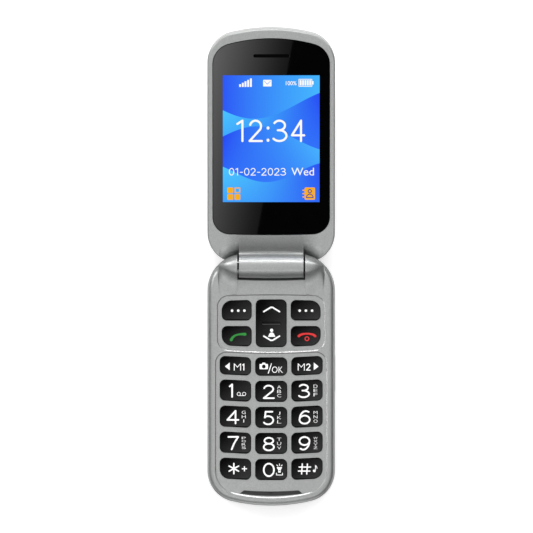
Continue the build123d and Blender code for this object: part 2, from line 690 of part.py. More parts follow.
for n in range(GRILLE_SLOTS):
    y = SPEAKER_Y + GRILLE_PITCH * (n - (GRILLE_SLOTS - 1) / 2)
    slot = Pos(speaker_x, y) * SlotOverall(GRILLE_SLOT_LENGTH, GRILLE_SLOT_WIDTH)
    lower_rear -= slab(slot, REAR_FLOOR - EPS, LOWER_THICKNESS + EPS)
lower_rear -= z_cylinder(HELP_RADIUS + KEY_CLEARANCE, 0, HELP_Y, REAR_FLOOR - EPS, LOWER_THICKNESS + EPS)
notch = Pos(0, COVER_NEAR) * Circle(COVER_NOTCH_RADIUS) - beyond(COVER_NEAR)
lower_rear -= slab(notch, LOWER_THICKNESS - COVER_NOTCH_DEPTH, LOWER_THICKNESS + MARGIN)
screw_heads = {}
for x, y in posts:
    under_cover = y > COVER_NEAR
    head = FRAME_BOTTOM - TOUCH if under_cover else LOWER_THICKNESS - SCREW_RECESS
    screw_heads[x, y] = head
    seat = head - SCREW_HEAD_HEIGHT
    floor = FRAME_TOP if under_cover else REAR_FLOOR
    lower_rear += z_cylinder(POST_RADIUS, x, y, post_foot + TOUCH, floor + EPS)
    lower_rear -= z_cylinder(SCREW_RADIUS + KEY_CLEARANCE, x, y, post_foot, seat)
    lower_rear -= z_cylinder(SCREW_HEAD_RADIUS + KEY_CLEARANCE, x, y, seat - TOUCH, LOWER_THICKNESS + MARGIN)
add_lower("lower_rear_housing", lower_rear)

cover = slab(cover_plan, COVER_TOP, LOWER_THICKNESS)
add_lower("battery_cover", chamfer(cover.edges().group_by(Axis.Z)[0], COVER_CLEARANCE))
add_lower("battery", slab(battery_plan, BOARD_BOTTOM + 4 * TOUCH, COVER_TOP - 2 * TOUCH))

lower_screws = [screw(x, y, head, post_foot - SCREW_BITE) for (x, y), head in screw_heads.items()]
add_lower("lower_screws", Compound(children=lower_screws))

# ---------------------------------------------------------------- keypad half: inside

post_holes = Sketch() + [Pos(x, y) * Circle(POST_RADIUS + KEY_CLEARANCE) for x, y in posts]
board_plan = offset(inner_plan, -VOLUME_BOARD_ROOM) & beyond(BOARD_NEAR) - beyond(REACH - BOARD_END)
board_plan = board_plan - post_holes
board = slab(board_plan, BOARD_TOP, BOARD_BOTTOM)
add_lower("main_circuit_board", board)

mat = slab(board_plan, MAT_TOP + MAT_PAD, MAT_TOP + MAT_THICKNESS)
for plan in key_faces.values():
    mat += slab(offset(plan, -KEY_CORNER / 2), MAT_TOP, MAT_TOP + MAT_PAD + EPS)
add_lower("keypad_mat", mat)

shield_plan = rounded_rectangle(SHIELD_HALF, SHIELD_NEAR, SHIELD_FAR, 1)
shield_top = BOARD_BOTTOM + TOUCH
shield = slab(shield_plan, shield_top, shield_top + SHIELD_HEIGHT)
shield -= slab(offset(shield_plan, -SHIELD_WALL), shield_top - EPS, shield_top + SHIELD_HEIGHT - SHIELD_WALL)
add_lower("shield_can", shield)

sim_bottom = FRAME_BOTTOM - TOUCH
sim_holder = slab(sim_plan, sim_bottom - SIM_HEIGHT, sim_bottom)
card = rounded_rectangle(SIM_HALF - SIM_ROOM * 2, SIM_NEAR + SIM_ROOM * 3, SIM_FAR + MARGIN, 1)
sim_holder -= slab(card, sim_bottom - SIM_HEIGHT + BOARD_THICKNESS, sim_bottom - BOARD_THICKNESS)
add_lower("sim_holder", sim_holder)

contact_depth = BATTERY_NEAR - TOUCH - contact_near
contacts = [block(x, contact_near + contact_depth / 2, CONTACT_WIDTH, contact_depth, BOARD_BOTTOM + TOUCH,
                  BOARD_BOTTOM + CONTACT_HEIGHT) for x in contact_xs]
add_lower("battery_contacts", Compound(children=contacts))

speaker_plan = Pos(speaker_x, SPEAKER_Y) * RectangleRounded(SPEAKER_LENGTH, SPEAKER_WIDTH, KEY_CORNER)
speaker = slab(speaker_plan, REAR_FLOOR - TOUCH - SPEAKER_HEIGHT, REAR_FLOOR - TOUCH)
add_lower("loudspeaker", speaker)
motor = z_cylinder(MOTOR_RADIUS, HALF_WIDTH - MOTOR_INSET, MOTOR_Y, REAR_FLOOR - TOUCH - MOTOR_HEIGHT,
                   REAR_FLOOR - TOUCH)
add_lower("vibration_motor", motor)
antenna_x = -(HALF_WIDTH - LOWER_POST_INSET - POST_RADIUS - ANTENNA_GAP - ANTENNA_LENGTH / 2)
antenna_y = REACH - ANTENNA_END - ANTENNA_WIDTH / 2
antenna_bottom = FRAME_TOP - TOUCH
add_lower("antenna_carrier", block(antenna_x, antenna_y, ANTENNA_LENGTH, ANTENNA_WIDTH,
                                   antenna_bottom - ANTENNA_HEIGHT, antenna_bottom))
add_lower("microphone", z_cylinder(MIC_RADIUS, 0, mic_y, PLATE + TOUCH,
                                   PLATE + TOUCH + MIC_HEIGHT))
trim_bottom = SLOT_SINK - TOUCH
slot_trim = slab(slot_plan(SLOT_CLEARANCE), trim_bottom - SLOT_TRIM_THICKNESS, trim_bottom)
slot_trim -= z_cylinder(MIC_PORT, 0, mic_y, 0, trim_bottom + EPS)
add_lower("microphone_slot_trim", slot_trim)

usb = y_bar(USB_WIDTH, USB_HEIGHT, usb_depth, usb_mouth - USB_LENGTH, usb_mouth)
usb -= y_bar(USB_WIDTH - 2 * USB_WALL, USB_HEIGHT - 2 * USB_WALL, usb_depth,
             usb_mouth - USB_LENGTH + 4 * USB_WALL, REACH + MARGIN)
usb += block(0, usb_mouth - USB_LENGTH / 2, USB_TONGUE_WIDTH, USB_LENGTH - 4 * USB_WALL,
             usb_depth - USB_TONGUE_THICKNESS / 2, usb_depth + USB_TONGUE_THICKNESS / 2)
add_lower("usb_socket", usb)

# ---------------------------------------------------------------- keypad half: buttons on the outside

volume = side_bar(volume_seat - EPS, volume_face, VOLUME_LENGTH, VOLUME_HEIGHT)
volume = fillet(volume.edges().group_by(Axis.X)[-1], VOLUME_EDGE)
volume += side_bar(volume_seat - VOLUME_FLANGE, volume_seat, VOLUME_LENGTH + 2 * VOLUME_LIP,
                   VOLUME_HEIGHT + 2 * VOLUME_LIP)
rib = Cylinder(VOLUME_PIVOT_RADIUS, VOLUME_HEIGHT)
volume += Pos(volume_seat - VOLUME_FLANGE, volume_middle, FACE - VOLUME_DEPTH) * rib
add_lower("volume_rocker", volume)

help_seat = REAR_FLOOR - TOUCH
help_button = z_cylinder(HELP_RADIUS, 0, HELP_Y, help_seat - EPS, LOWER_THICKNESS - HELP_SINK)
help_button = fillet(help_button.edges().group_by(Axis.Z)[0], KEY_EDGE)
help_button += z_cylinder(HELP_RADIUS + HELP_FLANGE, 0, HELP_Y, help_seat - HELP_FLANGE_THICKNESS, help_seat)
add_lower("help_button", help_button)

# ---------------------------------------------------------------- hinge

shaft = x_cylinder(SHAFT_HEAD_RADIUS, -KNUCKLE_INNER - SHAFT_SOCKET + TOUCH, -KNUCKLE_INNER)
shaft += x_cylinder(SHAFT_RADIUS, -KNUCKLE_INNER, -BARREL_HALF + SHAFT_REACH)
add_lower("hinge_shaft", shaft)
pin = x_cylinder(PIN_RADIUS, BARREL_HALF - PIN_REACH, KNUCKLE_INNER + PIN_SOCKET - TOUCH)
pin -= x_cylinder(PIN_BORE, BARREL_HALF - PIN_REACH - EPS, KNUCKLE_INNER + PIN_SOCKET)
add_lower("hinge_pin", pin)
tail = tail_ribbon() + x_cylinder(RIBBON_ROLL, KNUCKLE_INNER + TOUCH, tail_x + TAIL_WIDTH / 2)
add_lower("ribbon_tail", tail)
cartridge = x_cylinder(CARTRIDGE_RADIUS, -BARREL_HALF + TOUCH, -BARREL_HALF + CARTRIDGE_LENGTH - TOUCH)
cartridge -= x_cylinder(SHAFT_RADIUS + RUNNING_CLEARANCE, -BARREL_HALF,
                        -BARREL_HALF + SHAFT_REACH + KEY_CLEARANCE)
add_flip("hinge_cartridge", cartridge)


def flip_ribbon(length, room=0.0):
    """Ribbon that falls gently from the hinge axis to the flip's board."""
    x = BARREL_HALF - PIN_REACH - RIBBON_ROOM - RIBBON_WIDTH / 2
    strip = Pos(x, length / 2, 0) * Box(RIBBON_WIDTH + 2 * room, length, RIBBON_THICKNESS + 2 * room)
    return Rot(X=-RIBBON_DROP) * strip


roll_start = BARREL_HALF - PIN_REACH - RIBBON_ROOM - RIBBON_WIDTH
ribbon = flip_ribbon(RIBBON_LENGTH) + x_cylinder(RIBBON_ROLL, roll_start, KNUCKLE_INNER - KNUCKLE_GAP / 2)
add_flip("hinge_ribbon", ribbon)

# ---------------------------------------------------------------- display half: housings

flip_inner = offset(flip_outline, -WALL) & beyond(FLIP_BLOCK_REACH)
pane_far = REACH - PANE_END - PANE_FAR_BOW
pane_plan = bowed_panel(HALF_WIDTH - PANE_INSET, PANE_NEAR, PANE_NEAR_BOW, pane_far, PANE_FAR_BOW,
                        PANE_NEAR_CORNER, PANE_FAR_CORNER)
pane_bottom = PANE_SINK + PANE_THICKNESS
display_plan = rounded_rectangle(DISPLAY_HALF, DISPLAY_NEAR, REACH - DISPLAY_END, 1)
earpiece_y = REACH - EARPIECE_END
earpiece_slot = Pos(0, earpiece_y) * SlotOverall(EARPIECE_SLOT_LENGTH, EARPIECE_SLOT_WIDTH)
receiver_plan = Pos(0, earpiece_y) * RectangleRounded(RECEIVER_LENGTH, RECEIVER_WIDTH, 1)
flip_posts = [(side * (HALF_WIDTH - FLIP_POST_INSET), y) for y in (FLIP_POST_NEAR, REACH - FLIP_POST_END)
              for side in (-1, 1)]
flip_post_foot = FLIP_SEAM + FLIP_POST_DROP
window_plan = rounded_rectangle(WINDOW_HALF, WINDOW_NEAR, REACH - WINDOW_END, WINDOW_CORNER)
camera_y = REACH - CAMERA_END
window_top = FLIP_THICKNESS - PANE_SINK - WINDOW_THICKNESS

flip_front = (flip_body & seam_side(FLIP_SEAM, True)) + barrel()
flip_front -= slab(flip_inner, FLIP_PLATE, FLIP_SEAM + MARGIN)
flip_front -= slab(offset(pane_plan, PANE_CLEARANCE), -MARGIN, pane_bottom)
flip_front -= slab(offset(display_plan, DISPLAY_ROOM), 0, FLIP_PLATE + EPS)
flip_front -= slab(offset(receiver_plan, DISPLAY_ROOM), 0, FLIP_PLATE + EPS)
for x, y in flip_posts:
    flip_front += z_cylinder(POST_RADIUS, x, y, FLIP_PLATE - EPS, flip_post_foot)
    tip = flip_post_foot - SCREW_BITE
    flip_front -= z_cylinder(SCREW_RADIUS + TOUCH, x, y, tip - TOUCH, flip_post_foot + EPS)
flip_front -= x_cylinder(CARTRIDGE_RADIUS + TOUCH, -BARREL_HALF - EPS, -BARREL_HALF + CARTRIDGE_LENGTH)
flip_front -= x_cylinder(PIN_RADIUS + RUNNING_CLEARANCE, BARREL_HALF - PIN_REACH - KEY_CLEARANCE,
                         BARREL_HALF + EPS)
flip_front -= x_cylinder(RIBBON_ROLL + RIBBON_ROOM, roll_start - RIBBON_ROOM, BARREL_HALF)
flip_front -= flip_ribbon(RIBBON_LENGTH + RIBBON_ROOM, RIBBON_ROOM)
add_flip("flip_front_housing", flip_front)

flip_rear = (flip_body & seam_side(FLIP_SEAM, False)) - barrel(SEAM, BARREL_HALF + SEAM)
flip_rear -= slab(flip_inner, FLIP_SEAM - MARGIN, FLIP_REAR_FLOOR)
flip_rear -= slab(offset(window_plan, PANE_CLEARANCE), window_top - TOUCH, FLIP_THICKNESS + MARGIN)
outer_display_plan = rounded_rectangle(OUTER_DISPLAY_HALF, OUTER_DISPLAY_NEAR, REACH - OUTER_DISPLAY_END, 1)
flip_rear -= slab(offset(outer_display_plan, -WINDOW_LEDGE), FLIP_REAR_FLOOR - EPS, FLIP_THICKNESS)
flip_rear -= z_cylinder(CAMERA_LENS_RADIUS + KEY_CLEARANCE, CAMERA_X, camera_y, FLIP_REAR_FLOOR - EPS,
                        FLIP_THICKNESS)
flip_rear -= z_cylinder(TORCH_RADIUS / 2, TORCH_X, camera_y, FLIP_REAR_FLOOR - EPS, FLIP_THICKNESS)
cap_top = FLIP_THICKNESS - PANE_SINK - CAP_THICKNESS
flip_head = cap_top - TOUCH
for x, y in flip_posts:
    seat = flip_head - SCREW_HEAD_HEIGHT
    flip_rear += z_cylinder(POST_RADIUS, x, y, flip_post_foot + TOUCH, FLIP_REAR_FLOOR + EPS)
    flip_rear -= z_cylinder(SCREW_RADIUS + KEY_CLEARANCE, x, y, flip_post_foot, seat)
    flip_rear -= z_cylinder(SCREW_HEAD_RADIUS + KEY_CLEARANCE, x, y, seat - TOUCH, FLIP_THICKNESS + MARGIN)
add_flip("flip_rear_housing", flip_rear)

flip_screws = [screw(x, y, flip_head, flip_post_foot - SCREW_BITE) for x, y in flip_posts]
add_flip("flip_screws", Compound(children=flip_screws))
caps = [z_cylinder(SCREW_HEAD_RADIUS + PANE_CLEARANCE, x, y, cap_top, cap_top + CAP_THICKNESS)
        for x, y in flip_posts]
add_flip("screw_caps", Compound(children=caps))

# ---------------------------------------------------------------- display half: what it carries

pane = slab(pane_plan, PANE_SINK, pane_bottom - TOUCH)
pane = chamfer(pane.edges().group_by(Axis.Z)[-1], PANE_EDGE)
pane -= slab(earpiece_slot, 0, pane_bottom)
add_flip("display_pane", pane)
mesh_plan = offset(earpiece_slot, -TOUCH)
add_flip("earpiece_mesh", slab(mesh_plan, EARPIECE_MESH_SINK, EARPIECE_MESH_SINK + EARPIECE_MESH_THICKNESS))
receiver = slab(receiver_plan, pane_bottom + TOUCH, pane_bottom + TOUCH + RECEIVER_HEIGHT)
add_flip("earpiece_speaker", receiver)
add_flip("main_display", slab(display_plan, pane_bottom, pane_bottom + DISPLAY_THICKNESS))
flip_board_plan = rounded_rectangle(HALF_WIDTH - FLIP_BOARD_INSET, FLIP_BOARD_NEAR, REACH - FLIP_BOARD_END, 1)
flip_board_bottom = FLIP_BOARD_TOP + FLIP_BOARD_THICKNESS
add_flip("flip_circuit_board", slab(flip_board_plan, FLIP_BOARD_TOP, flip_board_bottom))
magnet_top = FLIP_PLATE + TOUCH
add_flip("closing_magnet", block(MAGNET_X, REACH - MAGNET_END, MAGNET_LENGTH, MAGNET_WIDTH,
                                 magnet_top, magnet_top + MAGNET_THICKNESS))

window = slab(window_plan, window_top, window_top + WINDOW_THICKNESS)
window = chamfer(window.edges().group_by(Axis.Z)[0], PANE_EDGE)
window -= z_cylinder(CAMERA_RADIUS + TOUCH, CAMERA_X, camera_y, window_top - EPS, FLIP_THICKNESS)
window -= z_cylinder(TORCH_RADIUS + TOUCH, TORCH_X, camera_y, window_top - EPS, FLIP_THICKNESS)
add_flip("outer_window", window)
outer_bottom = FLIP_REAR_FLOOR - TOUCH
add_flip("outer_display", slab(outer_display_plan, outer_bottom - OUTER_DISPLAY_THICKNESS, outer_bottom))
ring = z_cylinder(CAMERA_RADIUS, CAMERA_X, camera_y, window_top, FLIP_THICKNESS + CAMERA_RING_PROUD)
ring = fillet(ring.edges().group_by(Axis.Z)[0], CAMERA_RING_PROUD)
ring -= z_cylinder(CAMERA_RADIUS - CAMERA_RING_WIDTH, CAMERA_X, camera_y, 0, FLIP_THICKNESS + MARGIN)
add_flip("camera_ring", ring)
lens = z_cylinder(CAMERA_RADIUS - CAMERA_RING_WIDTH - TOUCH, CAMERA_X, camera_y, window_top,
                  FLIP_THICKNESS - PANE_EDGE)
add_flip("camera_lens", lens)
camera = block(CAMERA_X, camera_y, CAMERA_MODULE, CAMERA_MODULE, flip_board_bottom + TOUCH, outer_bottom)
camera += z_cylinder(CAMERA_LENS_RADIUS, CAMERA_X, camera_y, outer_bottom - EPS, window_top - 2 * TOUCH)
add_flip("camera_module", camera)
torch_lens = z_cylinder(TORCH_RADIUS, TORCH_X, camera_y, window_top, FLIP_THICKNESS)
add_flip("torch_lens", fillet(torch_lens.edges().group_by(Axis.Z)[0], PANE_EDGE))

os.makedirs("parts", exist_ok=True)
for name, piece in parts.items():
    export_step(piece, f"parts/{name}.step")
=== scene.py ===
import json
import math

import bmesh
import bpy
from mathutils import Matrix, Vector

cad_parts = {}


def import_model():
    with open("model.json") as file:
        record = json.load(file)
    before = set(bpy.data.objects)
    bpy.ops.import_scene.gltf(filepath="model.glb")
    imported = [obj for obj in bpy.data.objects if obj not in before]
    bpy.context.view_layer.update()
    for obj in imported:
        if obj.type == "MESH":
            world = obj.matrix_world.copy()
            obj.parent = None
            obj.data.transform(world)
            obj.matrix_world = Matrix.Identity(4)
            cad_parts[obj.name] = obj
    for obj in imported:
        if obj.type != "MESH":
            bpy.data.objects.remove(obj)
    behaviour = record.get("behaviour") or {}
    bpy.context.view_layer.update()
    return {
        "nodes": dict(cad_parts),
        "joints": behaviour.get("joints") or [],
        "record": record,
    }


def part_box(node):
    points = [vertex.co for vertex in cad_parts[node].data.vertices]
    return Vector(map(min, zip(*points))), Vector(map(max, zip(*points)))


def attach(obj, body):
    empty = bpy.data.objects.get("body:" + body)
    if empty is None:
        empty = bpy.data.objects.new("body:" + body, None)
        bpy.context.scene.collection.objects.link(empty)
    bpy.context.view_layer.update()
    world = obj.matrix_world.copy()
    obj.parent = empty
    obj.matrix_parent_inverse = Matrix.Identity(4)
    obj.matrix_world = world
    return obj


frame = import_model()

# ---------------------------------------------------------------- places
# Lengths on the two halves are in millimetres: x across, and the distance from the hinge axis.

MM = 0.001
KEYPAD_HALF = "keypad_half"
DISPLAY_HALF = "display_half"
flip_hinge = next(joint for joint in frame["joints"] if joint["name"] == "flip_hinge")
HINGE = Vector(flip_hinge["pos_m"])
OPEN_TILT = math.radians(180 - flip_hinge["range_deg"][1])
KEY_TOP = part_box("key_5")[1].z
INK = 0.03  # thickness of printed legends
LAP = 0.002  # crossing lines lie this much above each other
SCREEN_LIFT = 0.02  # each layer of the picture on the display lies this much above the one below

KEYPAD_SPACE = Matrix.Translation((0, HINGE.y, KEY_TOP))
FLIP_SPACE = Matrix.Translation(HINGE) @ Matrix.Rotation(OPEN_TILT, 4, "X")
PANE_TOP = max((FLIP_SPACE.inverted() @ v.co).z for v in frame["nodes"]["display_pane"].data.vertices) / MM

# ---------------------------------------------------------------- shader helpers


def srgb(red, green, blue):
    """Linear colour of an 8-bit screen colour."""
    def linear(value):
        share = value / 255
        return share / 12.92 if share <= 0.04045 else ((share + 0.055) / 1.055) ** 2.4
    return (linear(red), linear(green), linear(blue), 1)


def scaled(color, share):
    """Lighter or darker colour."""
    return tuple(channel * share for channel in color[:3]) + (1,)


COLOR_MIX_INPUTS = (0, 6, 7)  # sockets of a Mix node for the share and the two colours
COLOR_MIX_OUTPUT = 2


class Shader:
    """A node material with one Principled shader and short ways to feed it."""

    def __init__(self, name, color, roughness, metallic=0.0, specular=0.5, coordinates="Object"):
        self.material = bpy.data.materials.new(name)
        self.material.use_nodes = True
        self.tree = self.material.node_tree
        self.principled = self.tree.nodes["Principled BSDF"]
        self.set("Base Color", color)
        self.set("Roughness", roughness)
        self.set("Metallic", metallic)
        self.set("Specular IOR Level", specular)
        self.where = self.tree.nodes.new("ShaderNodeTexCoord").outputs[coordinates]

    def set(self, socket, value):
        self.principled.inputs[socket].default_value = value

    def feed(self, socket, output):
        self.tree.links.new(output, self.principled.inputs[socket])

    def node(self, kind, inputs=(), **settings):
        made = self.tree.nodes.new(kind)
        for name, value in settings.items():
            setattr(made, name, value)
        for name, value in dict(inputs).items():
            if isinstance(value, bpy.types.NodeSocket):
                self.tree.links.new(value, made.inputs[name])
            else:
                made.inputs[name].default_value = value
        return made

    def math(self, operation, first, second=0.0, clamp=False):
        made = self.node("ShaderNodeMath", {0: first, 1: second}, operation=operation, use_clamp=clamp)
        return made.outputs[0]

    def all_of(self, *masks):
        """Product of masks, which are 1 where they hold in full."""
        share = masks[0]
        for mask in masks[1:]:
            share = self.math("MULTIPLY", share, mask)
        return share

    def off_middle(self, share):
        """How far a share from 0 to 1 is from the middle."""
        return self.math("ABSOLUTE", self.math("SUBTRACT", share, 0.5))

    def split(self, vector):
        """X, Y and Z of a vector."""
        return self.node("ShaderNodeSeparateXYZ", {"Vector": vector}).outputs

    def facing(self):
        """X, Y and Z of the surface's normal on the part."""
        return self.split(self.node("ShaderNodeTexCoord").outputs["Normal"])

    def noise(self, size, detail=2.0, where=None):
        """Noise from 0 to 1 with grains about this many millimetres across."""
        made = self.node("ShaderNodeTexNoise", {
            "Vector": where or self.where, "Scale": 1 / (size * MM), "Detail": detail})
        return made.outputs["Fac"]

    def spread(self, value, low, high, source_low=0.3, source_high=0.7):
        """Value moved into a range, from the one that holds most of a noise if no other is given."""
        made = self.node("ShaderNodeMapRange", {
            "Value": value, "From Min": source_low, "From Max": source_high, "To Min": low, "To Max": high})
        return made.outputs["Result"]

    def mix(self, share, first, second):
        """Colour between two colours."""
        inputs = zip(COLOR_MIX_INPUTS, (share, first, second))
        return self.node("ShaderNodeMix", inputs, data_type="RGBA").outputs[COLOR_MIX_OUTPUT]

    def bump(self, height, strength, distance):
        """Bump of a height from 0 to 1 over this many millimetres."""
        made = self.node("ShaderNodeBump", {
            "Height": height, "Strength": strength, "Distance": distance * MM})
        self.feed("Normal", made.outputs["Normal"])

    def speckle(self, color, size, amount):
        """Colour that varies a little from grain to grain."""
        grain = self.spread(self.noise(size), 0, 1)
        self.feed("Base Color", self.mix(grain, scaled(color, 1 - amount), scaled(color, 1 + amount)))
        return grain


# ---------------------------------------------------------------- materials


PAINT = (0.37, 0.38, 0.376, 1)
FLAKE, FLAKE_SPREAD = 0.3, 0.1  # size of the paint's flakes, and how much lighter or darker they are
SHADE = 0.65  # painted shade: the paint on the flip's inner face is this much darker at the barrel
SHADE_NEAR, SHADE_FAR = 8.0, 19.0  # from the hinge axis
SHADE_HALF, SHADE_FADE = 13.5, 7.0  # across: even as far as the first, and gone after the second
SHADE_RISE = 0.3  # faces that lean more than this aren't darker
BARREL_REACH = 5.7  # from the hinge axis; the barrel's own paint isn't darker

# Colour of the panels' chamfers: a polished finish, and lighter than the paint as a painted highlight along
# the panels' edges.
POLISHED_HIGHLIGHT = (0.66, 0.66, 0.66, 1)
POLISH = 0.14  # the chamfers round the keypad panels are this much smoother
CHAMFER_RISES = (0.5, 0.93)  # least and most of their normal's height
CHAMFER_INSET = 3.25  # all of them lie this far inside the outline
CHAMFER_DEPTH = 1.0  # and no deeper than this under the keys' tops
PANEL_NEAR, BODY_END = 13.0, 107.2  # from the hinge axis
BODY_HALF, BODY_BOW, BODY_CORNER = 28.5, 5.5, 14.0  # half width, bow of the end, corner radius


def panel_chamfer(shader):
    """1 on the sloping walls round the two sunk keypad panels, and 0 elsewhere."""
    x, y, z = shader.split(shader.where)
    rise = shader.facing()["Z"]
    width = shader.math("ABSOLUTE", x)
    bow = shader.math("MULTIPLY", shader.math("POWER", width, 2), BODY_BOW / BODY_HALF**2 / MM)
    end = shader.math("ADD", bow, HINGE.y - (BODY_END - BODY_CORNER) * MM)
    beyond = (shader.math("SUBTRACT", width, (BODY_HALF - BODY_CORNER) * MM), shader.math("SUBTRACT", end, y))
    squares = (shader.math("POWER", shader.math("MAXIMUM", length, 0), 2) for length in beyond)
    reach = shader.math("SQRT", shader.math("ADD", *squares))
    return shader.all_of(
        shader.math("LESS_THAN", rise, CHAMFER_RISES[1]),
        shader.math("GREATER_THAN", rise, CHAMFER_RISES[0]),
        shader.math("LESS_THAN", reach, (BODY_CORNER - CHAMFER_INSET) * MM),
        shader.math("LESS_THAN", y, HINGE.y - PANEL_NEAR * MM),
        shader.math("GREATER_THAN", z, KEY_TOP - CHAMFER_DEPTH * MM),
    )


def painted_barrel_shade(shader):
    """Share by which painted shade darkens the paint on the flip's inner face near the barrel."""
    x, y, _ = shader.split(shader.where)
    return shader.all_of(
        shader.spread(y, 0, SHADE, HINGE.y + SHADE_FAR * MM, HINGE.y + SHADE_NEAR * MM),
        shader.math("GREATER_THAN", y, HINGE.y + BARREL_REACH * MM),
        shader.math("GREATER_THAN", shader.facing()["Z"], SHADE_RISE),
        shader.spread(shader.math("ABSOLUTE", x), 1, 0, SHADE_HALF * MM, (SHADE_HALF + SHADE_FADE) * MM),
    )


def silver_paint():
    """Metallic lacquer: flakes that show as a fine speckle, under a clear coat. Painted shade darkens the
    flip's inner face near the barrel, and the keypad panels' chamfers are smoother and lighter, partly a
    polished finish and partly a painted highlight.
    """
    shader = Shader("silver_paint", PAINT, 0.32, metallic=0.8)
    flakes = shader.node("ShaderNodeTexVoronoi", {"Vector": shader.where, "Scale": 1 / (FLAKE * MM)})
    shine = shader.node("ShaderNodeSeparateColor", {"Color": flakes.outputs["Color"]}).outputs["Red"]
    paint = shader.mix(shine, scaled(PAINT, 1 - FLAKE_SPREAD), scaled(PAINT, 1 + FLAKE_SPREAD))
    # painted shade: the flip's inner face is darkened towards black near the barrel
    paint = shader.mix(painted_barrel_shade(shader), paint, (0, 0, 0, 1))
    # the keypad panels' chamfers: smoother as a polished finish, and lighter partly as a painted highlight
    polished_highlit_chamfer = panel_chamfer(shader)
    shader.feed("Base Color", shader.mix(polished_highlit_chamfer, paint, POLISHED_HIGHLIGHT))
    satin = shader.spread(shader.noise(14, 3), 0.36, 0.42)
    shader.feed("Roughness", shader.math("SUBTRACT", satin, shader.math("MULTIPLY", polished_highlit_chamfer, POLISH)))
    shader.bump(shader.noise(0.5, 4), 0.06, 0.03)
    shader.set("Coat Weight", 0.3)
    shader.set("Coat Roughness", 0.2)
    return shader.material


KEY_BLACK = (0.003, 0.003, 0.0033, 1)
KEY_SHADED, KEY_LIT = (0.0003, 0.0003, 0.0003, 1), (0.03, 0.03, 0.0305, 1)  # painted shade at the upper left, painted light at the lower right
KEY_RIM, ROCKER_RIM = 0.09, 0.035  # ends painted darker as shade, as a share of a key
KEY_DISH = (1.2, 1.6)  # hollow across and along a key
# painted highlight on the near side of the rocker's ridge
RIDGE_HIGHLIGHT = (0.1, 0.1, 0.102, 1)
RIDGE_REACH = 0.15  # the rocker's ridge lies this near its middle, as a share of its length
RIDGE_RISE, RIDGE_LEAN = 0.85, 0.4  # most height and least lean of the normals on its sides


def key_plastic(name, rim_share):
    """Moulded black key: dished a little, with a fine spark-eroded grain. Painted shade darkens its upper
    left, its ends and the far side of the rocker's ridge; painted light brightens its lower right and the
    ridge's near side.
    """
    shader = Shader(name, KEY_BLACK, 0.24, specular=0.03, coordinates="Generated")
    across, along, _ = shader.split(shader.where)
    off_center = (shader.off_middle(across), shader.off_middle(along))
    hollow = (shader.math("MULTIPLY", shader.math("POWER", off, 2.0), depth)
              for off, depth in zip(off_center, KEY_DISH))
    grain = shader.noise(0.3, 3, shader.node("ShaderNodeTexCoord").outputs["Object"])
    height = shader.math("ADD", shader.math("ADD", *hollow), shader.math("MULTIPLY", grain, 0.02))
    shader.bump(height, 1.0, 1.6)
    # painted shade and light: darker towards the upper left and at the ends, lighter towards the lower right
    slant = shader.spread(shader.math("SUBTRACT", across, along), 0, 1, -0.7, 0.9)
    share = shader.math("ADD", slant, shader.spread(grain, -0.1, 0.1))
    inside = shader.math("LESS_THAN", off_center[1], 0.5 - rim_share)
    color = shader.mix(shader.math("MULTIPLY", share, inside, clamp=True), KEY_SHADED, KEY_LIT)
    _, lean, rise = shader.facing()
    # the rocker's ridge: its far side is painted dark as shade, its near side lighter as a highlight
    sloping = shader.all_of(shader.math("LESS_THAN", off_center[1], RIDGE_REACH),
                            shader.math("LESS_THAN", rise, RIDGE_RISE))
    ridge_shaded_side = shader.all_of(sloping, shader.math("GREATER_THAN", lean, RIDGE_LEAN))
    ridge_highlit_side = shader.all_of(sloping, shader.math("LESS_THAN", lean, -RIDGE_LEAN))
    shader.feed("Base Color", shader.mix(ridge_highlit_side, shader.mix(ridge_shaded_side, color, KEY_SHADED), RIDGE_HIGHLIGHT))
    return shader.material


def black_gloss():
    """Glass printed black from behind."""
    color = (0.001, 0.001, 0.0012, 1)
    shader = Shader("black_gloss", color, 0.02, specular=0.2)
    shader.feed("Roughness", shader.spread(shader.noise(9, 3), 0.01, 0.025))
    shader.speckle(color, 5, 0.15)
    return shader.material


def plain(name, color, roughness, metallic=0.0, grain=0.4, amount=0.12, bump=0.1, specular=0.5):
    """Moulded, cast or turned piece with grain of this many millimetres."""
    shader = Shader(name, color, roughness, metallic, specular)
    height = shader.speckle(color, grain, amount)
    shader.bump(height, bump, grain / 8)
    shader.feed("Roughness", shader.spread(shader.noise(grain * 12), roughness * 0.85, roughness * 1.15))
    return shader.material


def brushed_steel():
    """Sheet steel with fine lines across the phone."""
    shader = Shader("brushed_steel", (0.55, 0.55, 0.56, 1), 0.3, metallic=1.0)
    stretched = shader.node("ShaderNodeVectorMath", {0: shader.where, 1: (0.06, 1, 1)}, operation="MULTIPLY")
    lines = shader.noise(0.12, 3, stretched.outputs[0])
    shader.feed("Roughness", shader.spread(lines, 0.22, 0.42))
    shader.bump(lines, 0.15, 0.01)
    return shader.material


BOARD_FIELD = 4.0


def circuit_board():
    """Green solder mask in fields, with lighter copper tracks between them."""
    shader = Shader("circuit_board", (0.012, 0.09, 0.045, 1), 0.38)
    cells = shader.node("ShaderNodeTexBrick", {
        "Vector": shader.where, "Scale": 1 / (BOARD_FIELD * MM), "Mortar Size": 0.035,
        "Color1": (0.010, 0.080, 0.040, 1),
        "Color2": (0.014, 0.105, 0.055, 1),
        "Mortar": (0.06, 0.21, 0.07, 1),
    })
    shader.feed("Base Color", cells.outputs["Color"])
    return shader.material


def clear_glass(name, tint):
    shader = Shader(name, tint, 0.04)
    shader.set("Transmission Weight", 0.9)
    shader.set("IOR", 1.5)
    shader.feed("Roughness", shader.spread(shader.noise(1.5), 0.02, 0.06))
    return shader.material


RIB_PITCH = 0.35


